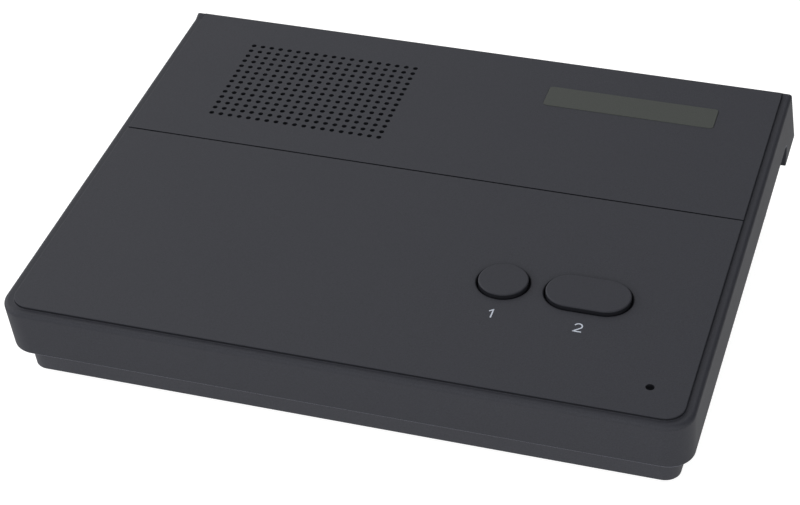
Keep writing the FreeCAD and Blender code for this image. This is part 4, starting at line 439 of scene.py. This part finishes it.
for name, (colour, *surface) in METALS.items():
    finishes[name] = worked_metal(name, linear(*colour), *surface)
finishes["capsule_metal"] = felt_faced("capsule_metal", linear(205, 205, 208), 0.3, linear(16, 16, 17))
print(f"{len(METALS) + 1} metal finishes")

# %% [markdown]
# The circuit board is green lacquer over copper tracks: a brick pattern stands in for the tracks,
# lighter and a little raised. The grille cloth is two crossed waves, over and under.

# %% Circuit board and grille cloth
TRACK_PITCH = 4 * MM
TRACK_WIDTH = 0.06
TRACK_DEPTH = 0.03 * MM
TRACK_PALER = 1.6
PATCH_DARKER = 0.85
# A wave texture of scale 1 repeats every 0.314 m.
WAVE_LENGTH = 0.314
CLOTH_DEPTH = 0.1 * MM
THREAD_DARKER = 0.5
THREAD_PALER = 1.5


def laminate(name, colour):
    """Green lacquer with slightly raised, lighter tracks laid out by a brick pattern."""
    material, tree, shader, coordinates = start_material(name, colour, 0.35)
    tracks = add_node(tree, "ShaderNodeTexBrick", {
        "Scale": 1 / TRACK_PITCH,
        "Mortar Size": TRACK_WIDTH,
        "Color1": (*colour, 1),
        "Color2": (*scaled(colour, PATCH_DARKER), 1),
        "Mortar": (*scaled(colour, TRACK_PALER), 1),
    })
    tree.links.new(coordinates, tracks.inputs["Vector"])
    tree.links.new(tracks.outputs["Color"], shader.inputs["Base Color"])
    bump(tree, shader, tracks.outputs["Fac"], TRACK_DEPTH)
    return material


def woven(name, colour, thread):
    """Cloth: the product of two crossed sine waves, one thread apart, raises and lightens it."""
    material, tree, shader, coordinates = start_material(name, colour, 0.9, specular=0.1)
    heights = []
    for direction in ("X", "Y"):
        scale = {"Scale": WAVE_LENGTH / thread}
        wave = add_node(tree, "ShaderNodeTexWave", scale, bands_direction=direction)
        tree.links.new(coordinates, wave.inputs["Vector"])
        heights.append(wave.outputs["Fac"])
    both = add_node(tree, "ShaderNodeMath", operation="MULTIPLY")
    tree.links.new(heights[0], both.inputs[0])
    tree.links.new(heights[1], both.inputs[1])
    bump(tree, shader, both.outputs["Value"], CLOTH_DEPTH)
    dark, pale = scaled(colour, THREAD_DARKER), scaled(colour, THREAD_PALER)
    tint = between(tree, both.outputs["Value"], dark, pale)
    tree.links.new(tint, shader.inputs["Base Color"])
    return material


finishes["board_laminate"] = laminate("board_laminate", linear(22, 78, 48))
finishes["grille_cloth"] = woven("grille_cloth", linear(12, 12, 13), 0.5 * MM)
print(f"{len(finishes)} finishes in all")

# %% [markdown]
# ## Dressing the CAD nodes
#
# The record that came with the CAD model says which slot each node takes. Each node's mesh keeps
# its shape and only gets the better material of the same name.

# %% Hand out the finishes
slot_of = {part["node"]: part["material_slot"] for part in frame["record"]["subparts"]}
for name, node in nodes.items():
    node.data.materials.clear()
    node.data.materials.append(finishes[slot_of[name]])
print("dressed", len(slot_of), "nodes")

# %% [markdown]
# ## Printed marks
#
# Beside each button the real case has a small print in light grey. Here they are a plain 1 and a
# plain 2. Print is a film a few hundredths of a millimetre thick, so each numeral is a ribbon: a
# constant width carried along a centre line and laid just above the panel.


# %% Ribbon along a line
def new_mesh(name, points, faces, material):
    """Make an object from arrays of points and faces, at the origin."""
    mesh = bpy.data.meshes.new(name)
    mesh.from_pydata(points.tolist(), [], faces.tolist())
    mesh.update()
    mesh.materials.append(material)
    piece = bpy.data.objects.new(name, mesh)
    bpy.context.scene.collection.objects.link(piece)
    return piece


def ribbon(line, width, base, top):
    """A closed flat bar along a centre line in the plane.

    Each line point is moved half the width to both sides along the line's normal, once at the
    base height and once at the top; neighbouring sections are joined and both ends are closed.
    """
    line = np.asarray(line, float)
    along = np.gradient(line, axis=0)
    along /= np.linalg.norm(along, axis=1, keepdims=True)
    across = np.column_stack([-along[:, 1], along[:, 0]]) * width / 2
    left, right = line - across, line + across
    count = len(line)
    section = [(left, base), (right, base), (right, top), (left, top)]
    points = np.stack([np.column_stack([side, np.full(count, z)]) for side, z in section], axis=1)
    ring = np.arange(len(section))
    following = np.roll(ring, -1)
    start = np.arange(count - 1)[:, None] * len(section)
    beyond = start + len(section)
    sides = np.stack([start + ring, start + following, beyond + following, beyond + ring], axis=-1)
    ends = np.array([ring[::-1], (count - 1) * len(section) + ring])
    return points.reshape(-1, 3), np.vstack([sides.reshape(-1, len(section)), ends])


trial_points, trial_faces = ribbon([(0, 0), (1, 0), (2, 0)], 0.5, 0, 0.1)
print("a ribbon along three points has", len(trial_points), "points and", len(trial_faces), "faces")

# %% [markdown]
# A 1 is two straight strokes. A 2 is an arc that turns over the top, a slanting stroke and a
# foot. Straight strokes are sampled as finely as the arc, so the ribbon's normals stay even.


# %% Numerals
PRINT_STROKE = 0.32 * MM
PRINT_HEIGHT = 3.1 * MM
PRINT_BASE = -0.05 * MM
PRINT_TOP = 0.02 * MM
PRINT_FOOT_Y = 23.6 * MM
STROKE_POINTS = 12
# Shares of the numeral's height.
FLAG_REACH = 0.28
FLAG_FOOT = 0.72
BOWL_RADIUS = 0.28
BOWL_ARC = np.radians(np.linspace(165, -35, 24))


def stroke(*corners):
    """Straight runs between corners, evenly sampled."""
    runs = [np.linspace(a, b, STROKE_POINTS) for a, b in zip(corners[:-1], corners[1:])]
    return np.vstack(runs)


def numeral_one(height):
    """A stem with a short flag: two separate strokes that meet at the top."""
    stem = stroke((0.0, 0.0), (0.0, height))
    flag = stroke((0.0, height - PRINT_STROKE / 2), (-FLAG_REACH * height, FLAG_FOOT * height))
    return [stem, flag]


def numeral_two(height):
    """An arc of 200 degrees about the upper bowl, a slant down from its end and a foot."""
    radius = BOWL_RADIUS * height
    half = PRINT_STROKE / 2
    centre = np.array([0.0, height - radius - half])
    bowl = centre + radius * np.column_stack([np.cos(BOWL_ARC), np.sin(BOWL_ARC)])
    slant = stroke(bowl[-1], (-radius, half))
    foot = stroke((-radius - half, half), (radius + half, half))
    return [np.vstack([bowl, slant[1:]]), foot]


def print_numeral(name, strokes, middle_x, foot_y, material):
    """Lay the strokes' ribbons on the panel and join them in one piece."""
    points, faces = [], []
    count = 0
    for line in strokes:
        flat, quads = ribbon(line, PRINT_STROKE, PRINT_BASE, PRINT_TOP)
        flat[:, 0] += middle_x
        flat[:, 1] += foot_y
        points.append(from_case(flat))
        faces.append(quads + count)
        count += len(flat)
    return new_mesh(name, np.vstack(points), np.vstack(faces), material)


# Each mark's numeral and the place of its middle to the right of the case's.
MARKS = {
    "mark_1": (numeral_one, 30.2 * MM),
    "mark_2": (numeral_two, 50.3 * MM),
}

ink = moulded("print_ink", linear(196, 202, 214), 0.6, 0.2, 0.002, 0.2)
for name, (numeral, middle_x) in MARKS.items():
    piece = print_numeral(name, numeral(PRINT_HEIGHT), middle_x, PRINT_FOOT_Y, ink)
    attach(piece, "console")
    print(name, len(piece.data.polygons), "faces")

# %% [markdown]
# ## Return springs
#
# Each button stands on a spring of steel wire that shortens when the button goes down. A rigid
# CAD solid can't shorten, so a wound wire of the same size takes its place. The wire is a tube
# carried along a helix; its seat and its top are measured on the CAD spring.


# %% Wound wire
RINGS_A_TURN = 36
WIRE_SIDES = 10


def wound_wire(mean, wire, low, high, pitch):
    """A round wire wound on a cylinder about the z axis, as points and triangles.

    The centre line is (mean/2 cos t, mean/2 sin t) and climbs one pitch a turn. Round each of its
    points lies a ring in the plane of the outward and the crosswise direction.
    """
    climb = high - low - wire
    rings = int(RINGS_A_TURN * climb / pitch)
    turn = np.linspace(0, 2 * math.pi * climb / pitch, rings)
    outward = np.column_stack([np.cos(turn), np.sin(turn), np.zeros(rings)])
    centre = outward * mean / 2
    centre[:, 2] = np.linspace(low + wire / 2, high - wire / 2, rings)
    forward = np.gradient(centre, axis=0)
    forward /= np.linalg.norm(forward, axis=1, keepdims=True)
    crosswise = np.cross(forward, outward)
    around = np.linspace(0, 2 * math.pi, WIRE_SIDES, endpoint=False)[None, :, None]
    spokes = np.cos(around) * outward[:, None] + np.sin(around) * crosswise[:, None]
    points = centre[:, None] + wire / 2 * spokes
    ring = np.arange(WIRE_SIDES)
    following = np.roll(ring, -1)
    start = np.arange(rings - 1)[:, None] * WIRE_SIDES
    beyond = start + WIRE_SIDES
    first = np.stack([start + ring, start + following, beyond + following], axis=-1)
    second = np.stack([start + ring, beyond + following, beyond + ring], axis=-1)
    fan = np.column_stack([np.zeros(WIRE_SIDES - 2, int), ring[2:], ring[1:-1]])
    far_fan = fan[:, ::-1] + (rings - 1) * WIRE_SIDES
    faces = np.vstack([first.reshape(-1, 3), second.reshape(-1, 3), fan, far_fan])
    return points.reshape(-1, 3), faces


print("a wire has", RINGS_A_TURN * WIRE_SIDES, "points a turn")

# %% Springs under the buttons
SPRING_COIL = 6.0 * MM
SPRING_WIRE = 0.5 * MM
SPRING_PITCH = 0.9 * MM
for name, joint in (("privacy_spring", "privacy_press"), ("call_spring", "call_press")):
    corners = np.empty(len(nodes[name].data.vertices) * 3)
    nodes[name].data.vertices.foreach_get("co", corners)
    solid = to_case(corners.reshape(-1, 3))
    lowest, highest = solid.min(axis=0), solid.max(axis=0)
    middle = (lowest + highest) / 2
    points, faces = wound_wire(SPRING_COIL, SPRING_WIRE, lowest[2], highest[2], SPRING_PITCH)
    points[:, :2] += middle[:2]
    coil = new_mesh(f"{name}_coil", from_case(points), faces, finishes[slot_of[name]])
    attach(coil, "console")
    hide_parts(name)
    seat = from_case([[middle[0], middle[1], lowest[2]]])[0]
    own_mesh(coil)

# %% [markdown]
# ## Floor, light and camera
#
# The console is shown on a plain white floor that keeps a faint shadow. The camera and sharp
# reflections see the floor as full white; soft light bounces from it as from white paper.

# %% Floor
FLOOR_HALF = 4.0
PAPER_WHITE = (0.9, 0.9, 0.9)
PAPER_DARK = (0.89, 0.89, 0.89)
PAPER_PALE = (0.91, 0.91, 0.91)
PAPER_BLOTCH = 80 * MM
PAPER_ROUGHNESS = 0.9
# What the camera sees: a glow nearly white, and a little lit paper that can be shadowed.
SEEN_GLOW = 0.9
SEEN_PAPER = (0.4, 0.4, 0.4, 1)
WHITE = (1, 1, 1, 1)


def floor_material():
    """White paper for soft light; for the camera a glow that the shadow darkens a little."""
    material, tree, shader, coordinates = start_material(
        "floor", PAPER_WHITE, PAPER_ROUGHNESS, specular=0.0)
    tint = between(tree, noise(tree, coordinates, PAPER_BLOTCH), PAPER_DARK, PAPER_PALE)
    tree.links.new(tint, shader.inputs["Base Color"])
    shadowed = add_node(tree, "ShaderNodeBsdfDiffuse", {"Color": SEEN_PAPER})
    glow = add_node(tree, "ShaderNodeEmission", {"Color": WHITE, "Strength": SEEN_GLOW})
    white = add_node(tree, "ShaderNodeEmission", {"Color": WHITE, "Strength": 1.0})
    seen = add_node(tree, "ShaderNodeAddShader")
    tree.links.new(shadowed.outputs["BSDF"], seen.inputs[0])
    tree.links.new(glow.outputs["Emission"], seen.inputs[1])
    path = add_node(tree, "ShaderNodeLightPath")
    surface = shader.outputs["BSDF"]
    for ray, look in (("Is Glossy Ray", white.outputs["Emission"]),
                      ("Is Transmission Ray", white.outputs["Emission"]),
                      ("Is Camera Ray", seen.outputs["Shader"])):
        choose = add_node(tree, "ShaderNodeMixShader")
        tree.links.new(path.outputs[ray], choose.inputs["Fac"])
        tree.links.new(surface, choose.inputs[1])
        tree.links.new(look, choose.inputs[2])
        surface = choose.outputs["Shader"]
    tree.links.new(surface, tree.nodes["Material Output"].inputs["Surface"])
    return material


corners = np.array([[-1, -1, 0], [1, -1, 0], [1, 1, 0], [-1, 1, 0]], float) * FLOOR_HALF
floor = new_mesh("floor", corners, np.array([[0, 1, 2, 3]]), floor_material())
print("floor", FLOOR_HALF * 2, "m wide")

# %% [markdown]
# The sky does all the lighting. It is an even, weak glow with a few soft patches, as large
# lamps round a studio table would give. A patch is a cosine of the angle from its own
# direction, raised to a power: a higher power makes it narrower. The camera sees plain white.

# %% World
# Azimuth from +Y towards +X and elevation in degrees, power, strength.
PATCHES = [
    (270, 15, 3, 1.81),
    (180, 15, 3, 1.0),
    (135, 15, 3, 0.82),
    (315, 48, 6, 0.76),
    (315, 15, 3, 0.53),
]
SKY_GLOW = 0.1

world = bpy.data.worlds.new("sky")
bpy.context.scene.world = world
world.use_nodes = True
sky_tree = world.node_tree
direction = add_node(sky_tree, "ShaderNodeTexCoord").outputs["Generated"]


def sum_of(first, second):
    """The sum of two values, each a socket or a number."""
    node = add_node(sky_tree, "ShaderNodeMath", operation="ADD")
    for place, value in zip(node.inputs, (first, second)):
        if isinstance(value, float):
            place.default_value = value
        else:
            sky_tree.links.new(value, place)
    return node.outputs["Value"]


def patch(azimuth, elevation, power, strength):
    """Glow round one direction of the sky."""
    azimuth, elevation = math.radians(azimuth), math.radians(elevation)
    centre = (
        math.sin(azimuth) * math.cos(elevation),
        math.cos(azimuth) * math.cos(elevation),
        math.sin(elevation),
    )
    towards = add_node(sky_tree, "ShaderNodeVectorMath", operation="DOT_PRODUCT")
    sky_tree.links.new(direction, towards.inputs[0])
    towards.inputs[1].default_value = centre
    ahead = add_node(sky_tree, "ShaderNodeMath", {1: 0.0}, operation="MAXIMUM")
    narrow = add_node(sky_tree, "ShaderNodeMath", {1: float(power)}, operation="POWER")
    bright = add_node(sky_tree, "ShaderNodeMath", {1: strength}, operation="MULTIPLY")
    sky_tree.links.new(towards.outputs["Value"], ahead.inputs[0])
    sky_tree.links.new(ahead.outputs["Value"], narrow.inputs[0])
    sky_tree.links.new(narrow.outputs["Value"], bright.inputs[0])
    return bright.outputs["Value"]


glow = SKY_GLOW
for values in PATCHES:
    glow = sum_of(glow, patch(*values))
lit = sky_tree.nodes["Background"]
sky_tree.links.new(glow, lit.inputs["Strength"])
plain = add_node(sky_tree, "ShaderNodeBackground", {"Color": WHITE, "Strength": 1.0})
lit.inputs["Color"].default_value = WHITE
sky_path = add_node(sky_tree, "ShaderNodeLightPath")
sky_choice = add_node(sky_tree, "ShaderNodeMixShader")
sky_tree.links.new(sky_path.outputs["Is Camera Ray"], sky_choice.inputs["Fac"])
sky_tree.links.new(lit.outputs["Background"], sky_choice.inputs[1])
sky_tree.links.new(plain.outputs["Background"], sky_choice.inputs[2])
sky_tree.links.new(sky_choice.outputs["Shader"], sky_tree.nodes["World Output"].inputs["Surface"])
print(len(PATCHES), "soft patches in the sky")

# %% [markdown]
# The camera stands to the front and the right, well back, with a long lens, so the console's
# edges stay nearly parallel. It aims at a point on the panel and isn't rolled.

# %% Camera
AIM = np.array([2.22, -27.124, 25.07]) * MM
AZIMUTH = math.radians(16.897)
ELEVATION = math.radians(32.122)
DISTANCE = 555.8 * MM
LENS = 105.06
SENSOR_WIDTH = 36.0
NEAREST = 0.05
FURTHEST = 20.0

camera = bpy.data.objects.new("camera", bpy.data.cameras.new("camera"))
back = np.array([
    math.sin(AZIMUTH) * math.cos(ELEVATION),
    -math.cos(AZIMUTH) * math.cos(ELEVATION),
    math.sin(ELEVATION),
])
camera.location = AIM + back * DISTANCE
camera.rotation_mode = "QUATERNION"
camera.rotation_quaternion = Vector(-back).to_track_quat("-Z", "Y")
camera.data.lens = LENS
camera.data.sensor_width = SENSOR_WIDTH
camera.data.clip_start = NEAREST
camera.data.clip_end = FURTHEST
bpy.context.scene.collection.objects.link(camera)
bpy.context.scene.camera = camera
bpy.context.scene.view_settings.view_transform = "Standard"
print("camera at", (np.array(camera.location) / MM).round(1), "mm")
